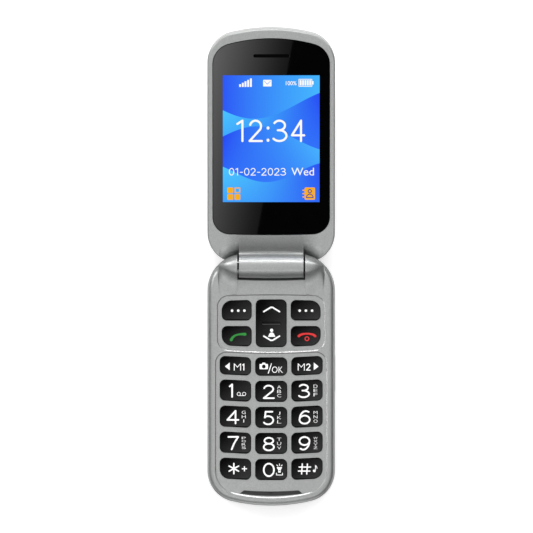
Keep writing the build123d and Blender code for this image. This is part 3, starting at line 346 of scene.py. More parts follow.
def torch_glass():
    """Pressed lens with fine concentric ribs."""
    shader = Shader("torch_glass", (0.9, 0.88, 0.75, 1), 0.12)
    low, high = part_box("torch_lens")
    middle = (low + high) / 2
    arm = shader.node("ShaderNodeVectorMath", {0: shader.where, 1: middle}, operation="SUBTRACT")
    reach = shader.node("ShaderNodeVectorMath", {0: arm.outputs[0]}, operation="LENGTH").outputs["Value"]
    ribs = shader.math("SINE", shader.math("MULTIPLY", reach, math.tau / (RIB_PITCH * MM)))
    shader.bump(ribs, 0.5, 0.05)
    shader.set("Transmission Weight", 0.35)
    return shader.material


def ink(name, color):
    shader = Shader(name, color, 0.45)
    shader.speckle(color, 0.15, 0.03)
    return shader.material


def glowing(name):
    """Shader of a piece of the picture on the display, which is lit from behind and mirrors nothing."""
    shader = Shader(name, (0, 0, 0, 1), 0.5, specular=0.0)
    shader.set("Emission Strength", 1.0)
    return shader


def lit(name, color):
    shader = glowing(name)
    shader.set("Emission Color", color)
    return shader.material


SCREEN_HALF = 21.6
SCREEN_NEAR, SCREEN_FAR = 28.95, 86.3  # from the hinge axis
SKY_LEFT, SKY_RIGHT = srgb(46, 88, 246), srgb(70, 182, 254)
VALLEY = srgb(52, 118, 250)  # every dune runs to this colour downwards
VALLEY_DEPTH, CREST_BLUR = 0.4, 0.004  # as shares of the screen's height
DUNES = (
    # crest, swing, turns, start, left colour, right colour
    (0.78, 0.12, 0.55, 3.6, (74, 196, 255), (40, 74, 244)),
    (0.50, 0.10, 0.62, 0.2, (40, 72, 244), (72, 178, 254)),
    (0.24, 0.08, 0.75, 2.6, (78, 200, 255), (44, 80, 244)),
)


def wallpaper():
    """Blue dunes, one in front of the other: each has a wavy crest and a run of colour under it."""
    shader = glowing("wallpaper")
    across, along, _ = shader.split(shader.where)
    share_x = shader.spread(across, 0, 1, -SCREEN_HALF * MM, SCREEN_HALF * MM)
    share_y = shader.spread(along, 0, 1, SCREEN_NEAR * MM, SCREEN_FAR * MM)
    picture = shader.mix(share_x, SKY_LEFT, SKY_RIGHT)
    for crest, swing, turns, start, left, right in DUNES:
        turn = shader.math("ADD", shader.math("MULTIPLY", share_x, turns * math.tau), start)
        wave = shader.math("SINE", turn)
        edge = shader.math("ADD", shader.math("MULTIPLY", wave, swing), crest)
        under = shader.math("SUBTRACT", edge, share_y)
        band = shader.mix(share_x, srgb(*left), srgb(*right))
        band = shader.mix(shader.spread(under, 0, 0.8, 0.0, VALLEY_DEPTH), band, VALLEY)
        picture = shader.mix(shader.spread(under, 0, 1, 0.0, CREST_BLUR), picture, band)
    shader.feed("Emission Color", picture)
    return shader.material


silver = silver_paint()
black_key = key_plastic("key_plastic", KEY_RIM)
rocker_key = key_plastic("rocker_plastic", ROCKER_RIM)
gloss = black_gloss()
steel = brushed_steel()
board = circuit_board()
black_trim = plain("black_trim", (0.012, 0.012, 0.013, 1), 0.5)
black_steel = plain("black_steel", (0.012, 0.012, 0.013, 1), 0.55, grain=0.2, amount=0.2, specular=0.2)
rubber = plain("keypad_rubber", (0.30, 0.30, 0.31, 1), 0.7)
battery_wrap = plain("battery_wrap", (0.03, 0.03, 0.035, 1), 0.42, grain=1.2)
brass = plain("contact_gold", (0.78, 0.52, 0.20, 1), 0.22, metallic=1.0, grain=0.2, amount=0.05)
aluminium = plain("turned_aluminium", (0.62, 0.63, 0.64, 1), 0.25, metallic=1.0, grain=0.3, amount=0.03,
                  bump=0.02)
ribbon = plain("ribbon_film", (0.36, 0.15, 0.03, 1), 0.35, grain=2.0)
orange = plain("orange_plastic", (0.62, 0.10, 0.012, 1), 0.32, grain=0.3, amount=0.05)
mesh_cloth = plain("mesh_cloth", (0.0012, 0.0012, 0.0012, 1), 0.8, grain=0.25, amount=0.4, bump=0.6,
                   specular=0.02)
panel = plain("panel_glass", (0.01, 0.011, 0.014, 1), 0.1, grain=3.0)
lens_glass = clear_glass("lens_glass", (0.12, 0.14, 0.24, 1))
torch = torch_glass()
white_ink = ink("white_ink", (0.93, 0.93, 0.93, 1))
green_ink = ink("green_ink", srgb(20, 127, 40))
red_ink = ink("red_ink", srgb(206, 26, 26))
lit_white = lit("lit_white", srgb(255, 253, 248))
lit_orange = lit("lit_orange", srgb(250, 176, 30))
lit_dark = lit("lit_dark", srgb(36, 62, 150))
screen_picture = wallpaper()


def key_nodes():
    """Nodes of the black keys that press."""
    bodies = frame["record"]["behaviour"]["bodies"]
    pressed = (joint["child"] for joint in frame["joints"] if joint["name"].endswith("_press"))
    return tuple(node for body in pressed for node in bodies[body] if node != "help_button")


MATERIAL_NODES = {
    silver: ("lower_front_housing", "lower_rear_housing", "battery_cover", "flip_front_housing",
             "flip_rear_housing", "screw_caps", "volume_rocker"),
    gloss: ("display_pane", "outer_window"),
    panel: ("main_display", "outer_display"),
    board: ("main_circuit_board", "flip_circuit_board"),
    rubber: ("keypad_mat",),
    steel: ("shield_can", "sim_holder", "usb_socket", "lower_screws", "flip_screws", "closing_magnet",
            "loudspeaker", "vibration_motor"),
    black_steel: ("hinge_shaft", "hinge_pin", "hinge_cartridge"),
    brass: ("battery_contacts",),
    battery_wrap: ("battery",),
    black_trim: ("microphone_slot_trim", "microphone", "earpiece_speaker", "antenna_carrier",
                 "camera_module"),
    mesh_cloth: ("earpiece_mesh",),
    ribbon: ("hinge_ribbon", "ribbon_tail"),
    aluminium: ("camera_ring",),
    lens_glass: ("camera_lens",),
    torch: ("torch_lens",),
    orange: ("help_button",),
    rocker_key: ("nav_key",),
    black_key: key_nodes(),
}
for material, names in MATERIAL_NODES.items():
    for name in names:
        slots = frame["nodes"][name].data.materials
        slots.clear()
        slots.append(material)

# ---------------------------------------------------------------- printed pieces


def put(name, data, space, body, material):
    """Links a mesh, curve or text made in the given space."""
    piece = bpy.data.objects.new(name, data)
    bpy.context.scene.collection.objects.link(piece)
    data.materials.append(material)
    piece.matrix_world = space
    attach(piece, body)
    return piece


TEXT_SIZE = 10.0  # before a text is stretched to its box
CAP_STEPS = 8  # of the half circle at a line's end
CORNER_STEPS = 5
SMOOTH_STEPS = 8
SAME_PLACE = 1e-4


class Print:
    """Flat legends on one surface. Heights are millimetres above it, and y is up the page."""

    def __init__(self, prefix, space, body, material, slot, base=0.0):
        self.prefix = prefix
        self.space = space @ Matrix.Translation((0, 0, base * MM))
        self.body = body
        self.material = material
        self.slot = slot

    def put(self, name, data, material=None, lift=0.0):
        space = self.space @ Matrix.Translation((0, 0, lift * MM))
        return put(f"{self.prefix}_{name}", data, space, self.body, material or self.material)

    def words(self, name, text, left, right, bottom, top, weight=0.0):
        """Text stretched to a box. The weight is what its outline grows by before that."""
        curve = bpy.data.curves.new(f"{self.prefix}_{name}", "FONT")
        curve.body = text
        curve.size = TEXT_SIZE * MM
        curve.align_x = "CENTER"
        curve.offset = weight * MM
        curve.extrude = INK / 2 * MM
        piece = self.put(name, curve)
        bpy.context.view_layer.update()
        low, high = Vector(piece.bound_box[0]), Vector(piece.bound_box[6])
        wide = (right - left) * MM / (high.x - low.x)
        tall = (top - bottom) * MM / (high.y - low.y)
        shift = Matrix.Translation((left * MM - low.x * wide, bottom * MM - low.y * tall, INK / 2 * MM))
        stretch = Matrix.Diagonal((wide, tall, 1, 1))
        piece.matrix_world = self.space @ shift @ stretch

    def shape(self, name, *outlines, material=None):
        """Filled outlines, each a list of (x, y) points; an outline inside another is a hole."""
        curve = bpy.data.curves.new(f"{self.prefix}_{name}", "CURVE")
        curve.dimensions = "2D"
        curve.fill_mode = "BOTH"
        curve.extrude = INK / 2 * MM
        for outline in outlines:
            spline = curve.splines.new("POLY")
            spline.points.add(len(outline) - 1)
            for point, (x, y) in zip(spline.points, outline):
                point.co = (x * MM, y * MM, 0, 1)
            spline.use_cyclic_u = True
        self.put(name, curve, material, INK / 2)

    def lines(self, name, paths, width, material=None, shares=(1, 1)):
        """Lines with round ends, or closed where a path ends at its start.

        Shares scale the width from each path's start to its end.
        """
        mesh = bpy.data.meshes.new(f"{self.prefix}_{name}")
        made = bmesh.new()
        for n, path in enumerate(paths):
            ribbon(made, [Vector(place) for place in path], width / 2, shares, n * LAP)
        bmesh.ops.recalc_face_normals(made, faces=made.faces)
        for face in made.faces:
            if face.normal.z < 0:
                face.normal_flip()
        made.to_mesh(mesh)
        made.free()
        piece = self.put(name, mesh, material)
        body = piece.modifiers.new("body", "SOLIDIFY")
        body.thickness = INK * MM
        body.offset = 1

    def number(self, name, text, left, right, bottom, top, width, gap=0.0):
        """Row of numerals that fills a box from edge to edge."""
        unit = (right - left - gap * (len(text) - 1)) / sum(GLYPH_WIDTHS.get(sign, 1) for sign in text)
        low, tall = bottom + width / 2, top - bottom - width
        paths = []
        for sign in text:
            wide = unit * GLYPH_WIDTHS.get(sign, 1)
            start = left + width / 2
            for path in GLYPHS[sign]:
                paths.append([(start + x * (wide - width), low + y * tall) for x, y in path])
            left += wide + gap
        self.lines(name, paths, width)


def ribbon(made, path, half, shares, height):
    """Adds a flat line to a bmesh; path in millimetres."""
    closed = (path[0] - path[-1]).length < SAME_PLACE
    count = len(path) - closed
    rows = []
    for n in range(count):
        before = path[(n - 1) % count] if closed else path[max(n - 1, 0)]
        after = path[(n + 1) % count] if closed else path[min(n + 1, count - 1)]
        along = (after - before).normalized()
        side = Vector((-along.y, along.x)) * half * at_share(shares, n / max(count - 1, 1))
        rows.append([vertex(made, path[n] + side, height), vertex(made, path[n] - side, height)])
    for n in range(count if closed else count - 1):
        (a, b), (c, d) = rows[n], rows[(n + 1) % count]
        made.faces.new((a, b, d, c))
    if not closed:
        for (a, b), middle, outwards in ((rows[0], path[0], path[0] - path[1]),
                                         (rows[-1], path[-1], path[-1] - path[-2])):
            arm = a.co.xy / MM - middle
            push = outwards.normalized() * arm.length
            cap = [vertex(made, middle + arm * math.cos(turn) + push * math.sin(turn), height)
                   for turn in (math.pi * n / CAP_STEPS for n in range(1, CAP_STEPS))]
            made.faces.new((a, *cap, b))


def vertex(made, place, height):
    return made.verts.new((place.x * MM, place.y * MM, height * MM))


def at_share(values, share):
    """Value at a share from 0 to 1 along evenly spaced values."""
    place = share * (len(values) - 1)
    first = min(int(place), len(values) - 2)
    return values[first] + (values[first + 1] - values[first]) * (place - first)


def smooth(points):
    """Catmull-Rom points through the given ones."""
    given = [Vector(p) for p in points]
    ends = [2 * given[0] - given[1], *given, 2 * given[-1] - given[-2]]
    path = []
    for a, b, c, d in zip(ends, ends[1:], ends[2:], ends[3:]):
        for step in range(SMOOTH_STEPS):
            t = step / SMOOTH_STEPS
            path.append(0.5 * (2 * b + (c - a) * t + (2 * a - 5 * b + 4 * c - d) * t**2
                               + (3 * b - a - 3 * c + d) * t**3))
    return path + [given[-1]]


def arc(x, y, wide, tall, start, end, steps=16):
    """Points of an ellipse between two angles in degrees."""
    turns = (math.radians(start + (end - start) * n / steps) for n in range(steps + 1))
    return [(x + wide * math.cos(turn), y + tall * math.sin(turn)) for turn in turns]


# Centre lines of plain numerals in a box from 0 to 1.
SIX_BACK = smooth([(0.9, 0.93), (0.66, 1.0), (0.36, 0.93), (0.1, 0.68), (0.0, 0.34)])
SIX_BOWL = arc(0.5, 0.32, 0.5, 0.32, 0, 360, 28)
GLYPHS = {
    "0": [arc(0.5, 0.5, 0.5, 0.5, 0, 360, 32)],
    "1": [[(0.75, 0.0), (0.75, 1.0)], [(0.75, 1.0), (0.0, 0.84)]],
    "2": [arc(0.48, 0.72, 0.45, 0.28, 165, -32) + [(0.0, 0.0)], [(0.0, 0.0), (1.0, 0.0)]],
    "3": [arc(0.42, 0.765, 0.46, 0.235, 150, -80), arc(0.42, 0.265, 0.58, 0.265, 85, -145),
          [(0.3, 0.53), (0.5, 0.53)]],
    "4": [[(0.74, 1.0), (0.0, 0.28)], [(0.0, 0.28), (1.0, 0.28)], [(0.74, 1.0), (0.74, 0.0)]],
    "5": [[(0.9, 1.0), (0.18, 1.0)], [(0.18, 1.0), (0.1, 0.54)], arc(0.45, 0.325, 0.55, 0.325, 130, -145)],
    "6": [SIX_BACK, SIX_BOWL],
    "7": [[(0.0, 1.0), (1.0, 1.0)], smooth([(1.0, 1.0), (0.6, 0.5), (0.33, 0.0)])],
    "8": [arc(0.5, 0.765, 0.43, 0.235, 0, 360, 26), arc(0.5, 0.265, 0.5, 0.265, 0, 360, 28)],
    "9": [[(1 - x, 1 - y) for x, y in SIX_BACK], [(1 - x, 1 - y) for x, y in SIX_BOWL]],
    ":": [arc(0.5, 0.04, 0.3, 0.03, 0, 360, 12), arc(0.5, 0.64, 0.3, 0.03, 0, 360, 12)],
    "-": [[(0.0, 0.42), (1.0, 0.42)]],
}
GLYPH_WIDTHS = {"1": 0.62, ":": 0.24, "-": 0.6}


def circle(x, y, radius, steps=28, start=0.0, sweep=math.tau):
    """Points of a circle, or of a part of it with both ends."""
    turns = (start + sweep * n / steps for n in range(steps + (sweep < math.tau)))
    return [(x + radius * math.cos(turn), y + radius * math.sin(turn)) for turn in turns]


def box(left, right, bottom, top, corner=0.0):
    """Rectangle, with rounded corners if a radius is given."""
    if not corner:
        return [(left, bottom), (right, bottom), (right, top), (left, top)]
    points = []
    for x, y, start in ((right - corner, bottom + corner, -90), (right - corner, top - corner, 0),
                        (left + corner, top - corner, 90), (left + corner, bottom + corner, 180)):
        points += circle(x, y, corner, CORNER_STEPS, math.radians(start), math.pi / 2)
    return points


def on_key(name):
    """Legends of one key; y is minus the distance from the hinge."""
    return Print(name, KEYPAD_SPACE, f"{name}_body", white_ink, "black_keys")


# ---------------------------------------------------------------- key legends

DIGIT_HEIGHT = 6.35
DIGIT_LINE = 0.73
LETTERS_HEIGHT = DIGIT_HEIGHT - 0.6  # of the letters that stand on each other beside a digit
LETTERS_DROP = 0.35  # from the digit's top to theirs
LETTER_SHARE = 0.72  # of the pitch
LETTER_WEIGHT = -0.12
LETTER_INDENTS = {"I": 0.72, "J": 0.4}
LETTER_COLUMNS = {"left": (-13.15, -11.4), "middle": (2.7, 4.45), "right": (18.95, 20.7)}
DIGITS = {
    # key: digit's left, right, top edge (minus the distance from the hinge), letters, column
    "1": (-18.9, -16.75, -52.55, "", "left"),
    "2": (-3.7, 1.6, -53.1, "ABC", "middle"),
    "3": (12.3, 17.3, -52.7, "DEF", "right"),
    "4": (-20.0, -14.3, -64.4, "GHI", "left"),
    "5": (-3.6, 1.3, -64.8, "JKL", "middle"),
    "6": (12.3, 17.6, -64.5, "MNO", "right"),
    "7": (-19.5, -14.4, -76.05, "PQRS", "left"),
    "8": (-3.7, 1.6, -76.45, "TUV", "middle"),
    "9": (12.3, 17.5, -76.1, "WXYZ", "right"),
    "0": (-3.7, 1.6, -88.0, "", "middle"),
}
for digit, (left, right, top, letters, column) in DIGITS.items():
    legend = on_key(f"key_{digit}")
    legend.number("digit", digit, left, right, top - DIGIT_HEIGHT, top, DIGIT_LINE)
    low, high = LETTER_COLUMNS[column]
    for place, letter in enumerate(letters):
        pitch = LETTERS_HEIGHT / len(letters)
        head = top - LETTERS_DROP - pitch * place
        foot = head - pitch * LETTER_SHARE
        indent = LETTER_INDENTS.get(letter, 0.0)
        legend.words(f"letter_{letter}", letter, low + indent, high - indent, foot, head, LETTER_WEIGHT)

REELS, REEL_LEVEL, REEL_RADIUS = (-14.5, -12.1), -57.2, 0.75
reels = [arc(x, REEL_LEVEL, REEL_RADIUS, REEL_RADIUS, 0, 360, 20) for x in REELS]
tape = [(x, REEL_LEVEL - REEL_RADIUS) for x in REELS]
on_key("key_1").lines("voicemail", [*reels, tape], 0.24)

star = on_key("key_star")
spokes = [arc(-16.7, -90.6, 2.45, 2.3, angle, angle + 180, 1) for angle in (90, 150, 210)]
star.lines("star", spokes, 0.62)
star.words("plus", "+", -13.1, -10.85, -91.8, -89.55, 0.1)

hash_key = on_key("key_hash")
hash_key.lines("hash", [[(13.6, -93.0), (13.9, -88.5)], [(15.9, -93.0), (16.2, -88.5)],
                        [(12.5, -89.9), (17.6, -89.9)], [(12.2, -91.7), (17.3, -91.7)]], 0.54)
hash_key.shape("note_head", circle(19.3, -91.6, 0.62))
note_stem = [(19.8, -91.5), (19.8, -89.2)]
note_flag = smooth([(19.8, -89.2), (20.3, -89.8), (20.5, -90.5)])
hash_key.lines("note", [note_stem, note_flag], 0.32)

zero = on_key("key_0")
TORCH_MIDDLE = 3.7
zero.shape("torch", [(3.15, -92.4), (4.25, -92.4), (4.25, -91.1), (4.85, -90.3), (4.85, -89.95),
                     (2.55, -89.95), (2.55, -90.3), (3.15, -91.1)], circle(TORCH_MIDDLE, -91.5, 0.25, 12))
rays = [[(TORCH_MIDDLE + reach * math.cos(turn), -90.2 + reach * math.sin(turn)) for reach in (1.0, 1.75)]
        for turn in map(math.radians, (135, 90, 45))]
tray = [(2.35, -92.6), (2.35, -93.45), (5.05, -93.45), (5.05, -92.6)]
zero.lines("rays", [*rays, *zip(tray, tray[1:])], 0.3)

menu_left = on_key("key_m1")
menu_left.shape("arrow", [(-20.7, -44.9), (-18.55, -43.15), (-18.55, -46.6)])
menu_left.words("letter", "M", -16.7, -13.5, -46.75, -43.6, -0.16)
menu_left.number("digit", "1", -12.95, -11.85, -46.75, -43.6, 0.42)
menu_right = on_key("key_m2")
menu_right.shape("arrow", [(21.2, -44.9), (19.05, -43.15), (19.05, -46.6)])
menu_right.words("letter", "M", 11.9, 15.0, -46.75, -43.6, -0.16)
menu_right.number("digit", "2", 15.55, 17.65, -46.75, -43.6, 0.42)

ok = on_key("key_ok")
ok.shape("camera", box(-5.2, -1.45, -46.15, -43.8, 0.35), circle(-3.3, -44.95, 0.85))
ok.shape("camera_hump", [(-4.2, -43.85), (-3.9, -43.2), (-2.7, -43.2), (-2.4, -43.85)])
ok.lines("slash", [[(-1.3, -47.9), (0.1, -43.7)]], 0.4)
ok.words("name", "OK", 0.35, 5.2, -47.75, -44.95, -0.06)

DOT_PITCH, DOT_LEVEL, DOT_RADIUS = 2.77, -19.95, 0.56
for name, middle in (("soft_key_left", -14.75), ("soft_key_right", 15.5)):
    legend = on_key(name)
    for n in (-1, 0, 1):
        legend.shape(f"dot_{n + 1}", circle(middle + n * DOT_PITCH, DOT_LEVEL, DOT_RADIUS))

rocker = on_key("nav_key")
NAV_MIDDLE = 0.2
for name, foot, apex in (("up", -20.2, -18.15), ("down", -31.5, -33.55)):
    inner_foot = foot - math.copysign(0.6, apex - foot)
    inner_apex = apex - math.copysign(0.7, apex - foot)
    outer = [(-3.9, foot), (-0.5, apex), (0.5, apex), (3.9, foot)]
    inner = [(3.55, inner_foot), (0.4, inner_apex), (-0.4, inner_apex), (-3.55, inner_foot)]
    rocker.shape(f"chevron_{name}", [(NAV_MIDDLE + x, y) for x, y in outer + inner])
rocker.shape("person_head", circle(NAV_MIDDLE, -28.75, 0.72))
shoulders = reversed(circle(NAV_MIDDLE, -30.9, 1.2, 14, 0.2, 2.75))
rocker.shape("person_body", [(NAV_MIDDLE - 1.65, -31.65), *shoulders, (NAV_MIDDLE + 1.65, -31.65)])

handset = smooth([(-17.9, -33.0), (-17.1, -31.8), (-15.7, -30.9), (-13.7, -30.5), (-11.7, -30.5)])
on_key("call_key").lines("handset", [handset], 0.85, green_ink, (1.5, 1.25, 0.9, 1.1, 1.55))
end = on_key("end_key")
handset = smooth([(12.35, -31.3), (13.5, -30.6), (16.0, -30.25), (18.5, -30.6), (19.65, -31.3)])
end.lines("handset", [handset], 0.8, red_ink, (1.4, 1.2, 0.95, 1.2, 1.4))
end.lines("ring", [arc(16.0, -32.5, 0.85, 0.85, 0, 360, 24)], 0.46, red_ink)

# ---------------------------------------------------------------- display


def on_screen(material, layer):
    """Signs in one layer of the picture; y is the distance from the hinge."""
    base = PANE_TOP + (layer + 1) * SCREEN_LIFT + layer * INK
    return Print("screen", FLIP_SPACE, DISPLAY_HALF, material, "display_module", base)


on_screen(screen_picture, 0).shape("wallpaper", box(-SCREEN_HALF, SCREEN_HALF, SCREEN_NEAR, SCREEN_FAR))
icons = on_screen(lit_white, 1)

STATUS_LOW = 81.1
SIGNAL_PITCH, SIGNAL_LEAST, SIGNAL_STEP = 1.2, 1.2, 0.65
CELL_PITCH = 1.06
for n in range(5):
    shift = SIGNAL_PITCH * n
    signal_top = STATUS_LOW + SIGNAL_LEAST + SIGNAL_STEP * n
    icons.shape(f"signal_{n}", box(-14.3 + shift, -13.45 + shift, STATUS_LOW, signal_top))
icons.shape("envelope", box(-3.6, 0.15, 81.3, 84.3, 0.2))
icons.shape("battery", box(12.2, 18.3, 81.2, 84.7, 0.3), box(12.5, 18.0, 81.5, 84.4))
icons.shape("battery_tip", box(18.3, 18.9, 82.2, 83.7))
for n in range(5):
    shift = CELL_PITCH * n
    icons.shape(f"battery_cell_{n}", box(12.75 + shift, 13.55 + shift, 81.75, 84.15))
icons.words("charge", "100%", 6.5, 11.3, 81.85, 83.7, 0.08)
icons.number("clock", "12:34", -15.6, 15.2, 56.15, 66.3, 0.95, 1.5)
icons.number("date", "01-02-2023", -18.9, 6.6, 41.0, 44.4, 0.36, 0.5)
icons.words("day", "Wed", 9.0, 19.1, 41.0, 44.5)

TILE = 2.6
for n, (x, y) in enumerate(((-19.6, 33.0), (-19.6, 29.95), (-16.4, 29.95))):
    icons.shape(f"menu_tile_{n}", box(x, x + TILE, y, y + TILE, 0.3), material=lit_orange)
menu_frame = (box(-16.4, -13.8, 33.0, 35.6, 0.3), box(-15.9, -14.3, 33.5, 35.1))
icons.shape("menu_frame", *menu_frame, material=lit_orange)
icons.shape("contacts_page", box(14.9, 19.6, 30.0, 35.6, 0.6), material=lit_orange)
icons.lines("contacts_rings", [[(14.2, y), (15.2, y)] for y in (31.3, 32.8, 34.3)], 0.55, lit_orange)
above = on_screen(lit_dark, 2)
above.lines("contacts_head", [arc(17.25, 33.9, 0.75, 0.75, 0, 360, 20)], 0.4)
above.lines("contacts_body", [arc(17.25, 31.0, 1.5, 1.55, 0, 180), [(15.75, 31.0), (18.75, 31.0)]], 0.4)
above.shape("envelope_flap", [(-3.2, 83.9), (-1.72, 82.5), (-0.25, 83.9), (-0.25, 83.65), (-1.72, 82.2),
                              (-3.2, 83.65)], material=screen_picture)

# ---------------------------------------------------------------- socket contacts

usb_low, usb_high = (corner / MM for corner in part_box("usb_socket"))
usb_middle = (usb_low.z + usb_high.z) / 2
TONGUE_HALF = 0.35  # thickness
CONTACTS, CONTACT_PITCH, CONTACT_HALF = 12, 0.5, 0.13
CONTACT_NEAR, CONTACT_FAR = 1.6, 5.2  # from the socket's mouth
contact_space = Matrix.Translation((0, 0, (usb_middle + TONGUE_HALF) * MM))
contacts = Print("usb", contact_space, KEYPAD_HALF, brass, "contact_brass")
for n in range(CONTACTS):
    x = (n - (CONTACTS - 1) / 2) * CONTACT_PITCH
    contacts.shape(f"contact_{n}", box(x - CONTACT_HALF, x + CONTACT_HALF, usb_low.y + CONTACT_NEAR,
                                       usb_low.y + CONTACT_FAR))

# ---------------------------------------------------------------- stage, lights, camera

# Lengths here are in metres, apart from places on the display pane.

VIEW_MIDDLE = Vector((-0.0021, 0.0534, 0.0))
VIEW_WIDTH = 0.2384
VIEW_HEIGHT = 6.0
EYE = VIEW_MIDDLE + Vector((0, 0, VIEW_HEIGHT))
SENSOR_WIDTH = 36.0  # the camera's, in millimetres
DOME = 1.5
FLOOR_SIZE, FLOOR_GAP = 8.0, 0.0001  # the gap under the phone keeps the floor out of its back
FLOOR_GLOW = 0.5
PAPER = (0.70, 0.70, 0.70, 1)
CARD_HEIGHT, CARD_DROP = 0.64, 0.01  # of the black flag, and from it to the graded card
CARD_REACH = 32  # on the pane
CARD_NEAR, CARD_FAR = 8, 110  # on the pane
EDGE_NEAR, EDGE_FAR = -7.5, 11.1  # the graded card's slanted edge, across the pane
GLOW_EDGE, GLOW_LEFT, GLOW_POWER = 0.5, 9.8, 1.5
FLAG_PLACE, FLAG_HALF = 0.065, 0.4
FLAG_HEIGHTS = {"left": 0.03, "right": 0.04}
FLOOR_FLAG_HEIGHT, FLOOR_FLAG_HALF = 0.3 * MM, 0.036
FLOOR_FLAG_NEAR, FLOOR_FLAG_FAR = -0.062, 0.15
WORLD_LOW, WORLD_HIGH = 0.05, 0.95  # strength at the horizon and overhead
BLACK = (0, 0, 0, 1)
WHITE = (1, 1, 1, 1)


def floor():
    """White paper that mirrors and glass see as white too; it keeps the phone's shadow."""
    bpy.ops.mesh.primitive_plane_add(size=FLOOR_SIZE, location=(0, 0, -FLOOR_GAP))
    plane = bpy.context.object
    plane.name = "floor"
    shader = Shader("floor_paper", PAPER, 0.9, specular=0.0)
    shader.speckle(PAPER, 2.0, 0.004)
    rays = shader.node("ShaderNodeLightPath").outputs
    seen = shader.math("MAXIMUM", rays["Is Camera Ray"],
                       shader.math("MAXIMUM", rays["Is Glossy Ray"], rays["Is Transmission Ray"]))
    shader.set("Emission Color", WHITE)
    shader.feed("Emission Strength", shader.math("MULTIPLY", seen, FLOOR_GLOW))
    plane.data.materials.append(shader.material)


def softbox(name, azimuth, elevation, width, height, radiance):
    """Area light on a dome round the phone. Azimuth 0 is at the page's top and 90 at its left."""
    light = bpy.data.lights.new(name, "AREA")
    light.shape = "RECTANGLE"
    light.size, light.size_y = width, height
    light.energy = radiance * math.pi * width * height
    lamp = bpy.data.objects.new(name, light)
    bpy.context.scene.collection.objects.link(lamp)
    turn, rise = math.radians(azimuth), math.radians(elevation)
    out = Vector((-math.sin(turn) * math.cos(rise), math.cos(turn) * math.cos(rise), math.sin(rise)))
    place = Matrix.Translation(HINGE + out * DOME)
    lamp.matrix_world = place @ out.to_track_quat("Z", "Y").to_matrix().to_4x4()
    lamp.visible_camera = False


def card(name, corners, material):
    """Studio card that only its mirror images show."""
    mesh = bpy.data.meshes.new(name)
    mesh.from_pydata(corners, [], [tuple(range(len(corners)))])
    mesh.materials.append(material)
    piece = bpy.data.objects.new(name, mesh)
    bpy.context.scene.collection.objects.link(piece)
    piece.visible_camera = False
    piece.visible_shadow = False
    piece.visible_diffuse = False


def mirrored_place(x, distance, height):
    """Point at a height that the eye sees mirrored at a point of the display pane."""
    point = FLIP_SPACE @ Vector((x * MM, distance * MM, PANE_TOP * MM))
    normal = FLIP_SPACE.to_3x3() @ Vector((0, 0, 1))
    ray = (point - EYE).normalized()
    out = ray - 2 * ray.dot(normal) * normal
    return point + out * (height - point.z) / out.z


def cards():
    """A black flag over the display pane, and under it a graded card that lights the pane's left."""
    black = Shader("flag_cloth", BLACK, 1.0, specular=0.0).material
    outline = box(-CARD_REACH, CARD_REACH, CARD_NEAR, CARD_FAR)
    card("flag", [mirrored_place(x, y, CARD_HEIGHT) for x, y in outline], black)

    graded_outline = ((-CARD_REACH, CARD_NEAR), (EDGE_NEAR, CARD_NEAR), (EDGE_FAR, CARD_FAR),
                      (-CARD_REACH, CARD_FAR))
    corners = [mirrored_place(x, y, CARD_HEIGHT - CARD_DROP) for x, y in graded_outline]
    _, foot, head, far_left = corners
    away = Vector((foot.y - head.y, head.x - foot.x, 0)).normalized()
    edge = head.dot(away)
    depth = (far_left - head).dot(away)
    shader = Shader("graded_card", BLACK, 1.0, specular=0.0)
    inwards = shader.node("ShaderNodeVectorMath", {0: shader.where, 1: away}, operation="DOT_PRODUCT")
    share = shader.spread(inwards.outputs["Value"], 0, 1, edge, edge + depth)
    glow = shader.spread(shader.math("POWER", share, GLOW_POWER), GLOW_EDGE, GLOW_LEFT, 0, 1)
    shader.feed("Emission Strength", glow)
    shader.set("Emission Color", WHITE)
    card("sheen_card", corners, shader.material)


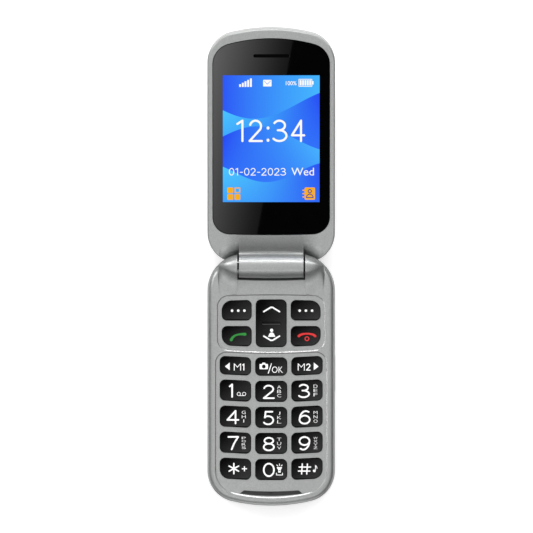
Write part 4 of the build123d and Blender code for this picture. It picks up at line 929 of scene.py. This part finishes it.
def side_flags():
    """Black cards left and right of the phone and round its foot, which darken its edges."""
    black = Shader("side_flag_cloth", BLACK, 1.0, specular=0.0).material
    for side, height in FLAG_HEIGHTS.items():
        x = -FLAG_PLACE if side == "left" else FLAG_PLACE
        corners = [(x, y, z) for y, z in box(-FLAG_HALF, FLAG_HALF, 0, height)]
        card(f"side_flag_{side}", corners, black)
    outline = box(-FLOOR_FLAG_HALF, FLOOR_FLAG_HALF, FLOOR_FLAG_NEAR, FLOOR_FLAG_FAR)
    card("floor_flag", [(x, y, FLOOR_FLAG_HEIGHT) for x, y in outline], black)


def world():
    """Soft studio light, dimmer towards the horizon."""
    made = bpy.data.worlds.new("studio")
    bpy.context.scene.world = made
    made.use_nodes = True
    tree = made.node_tree
    background = tree.nodes["Background"]
    background.inputs["Color"].default_value = WHITE
    where = tree.nodes.new("ShaderNodeTexCoord")
    split = tree.nodes.new("ShaderNodeSeparateXYZ")
    rise = tree.nodes.new("ShaderNodeMapRange")
    rise.inputs["To Min"].default_value = WORLD_LOW
    rise.inputs["To Max"].default_value = WORLD_HIGH
    tree.links.new(where.outputs["Generated"], split.inputs[0])
    tree.links.new(split.outputs["Z"], rise.inputs["Value"])
    tree.links.new(rise.outputs["Result"], background.inputs["Strength"])


def camera():
    """Looks straight down. Its width of view holds at the height of the keys' tops."""
    data = bpy.data.cameras.new("camera")
    data.sensor_width = SENSOR_WIDTH
    data.lens = data.sensor_width * (VIEW_HEIGHT - KEY_TOP) / VIEW_WIDTH
    data.dof.use_dof = False
    data.clip_end = 30.0
    eye = bpy.data.objects.new("camera", data)
    bpy.context.scene.collection.objects.link(eye)
    eye.location = EYE
    bpy.context.scene.camera = eye


floor()
world()
softbox("back_strip", -12, 40, 3.0, 0.3, 7.0)
softbox("back_low", 0, 10, 1.2, 0.3, 3.6)
softbox("front_strip", 175, 46, 2.4, 0.18, 2.2)
softbox("corner", 60, 30, 0.45, 0.45, 9.0)
softbox("left_low", 86, 17, 2.2, 0.16, 3.0)
cards()
side_flags()
camera()
bpy.context.scene.view_settings.view_transform = "Standard"
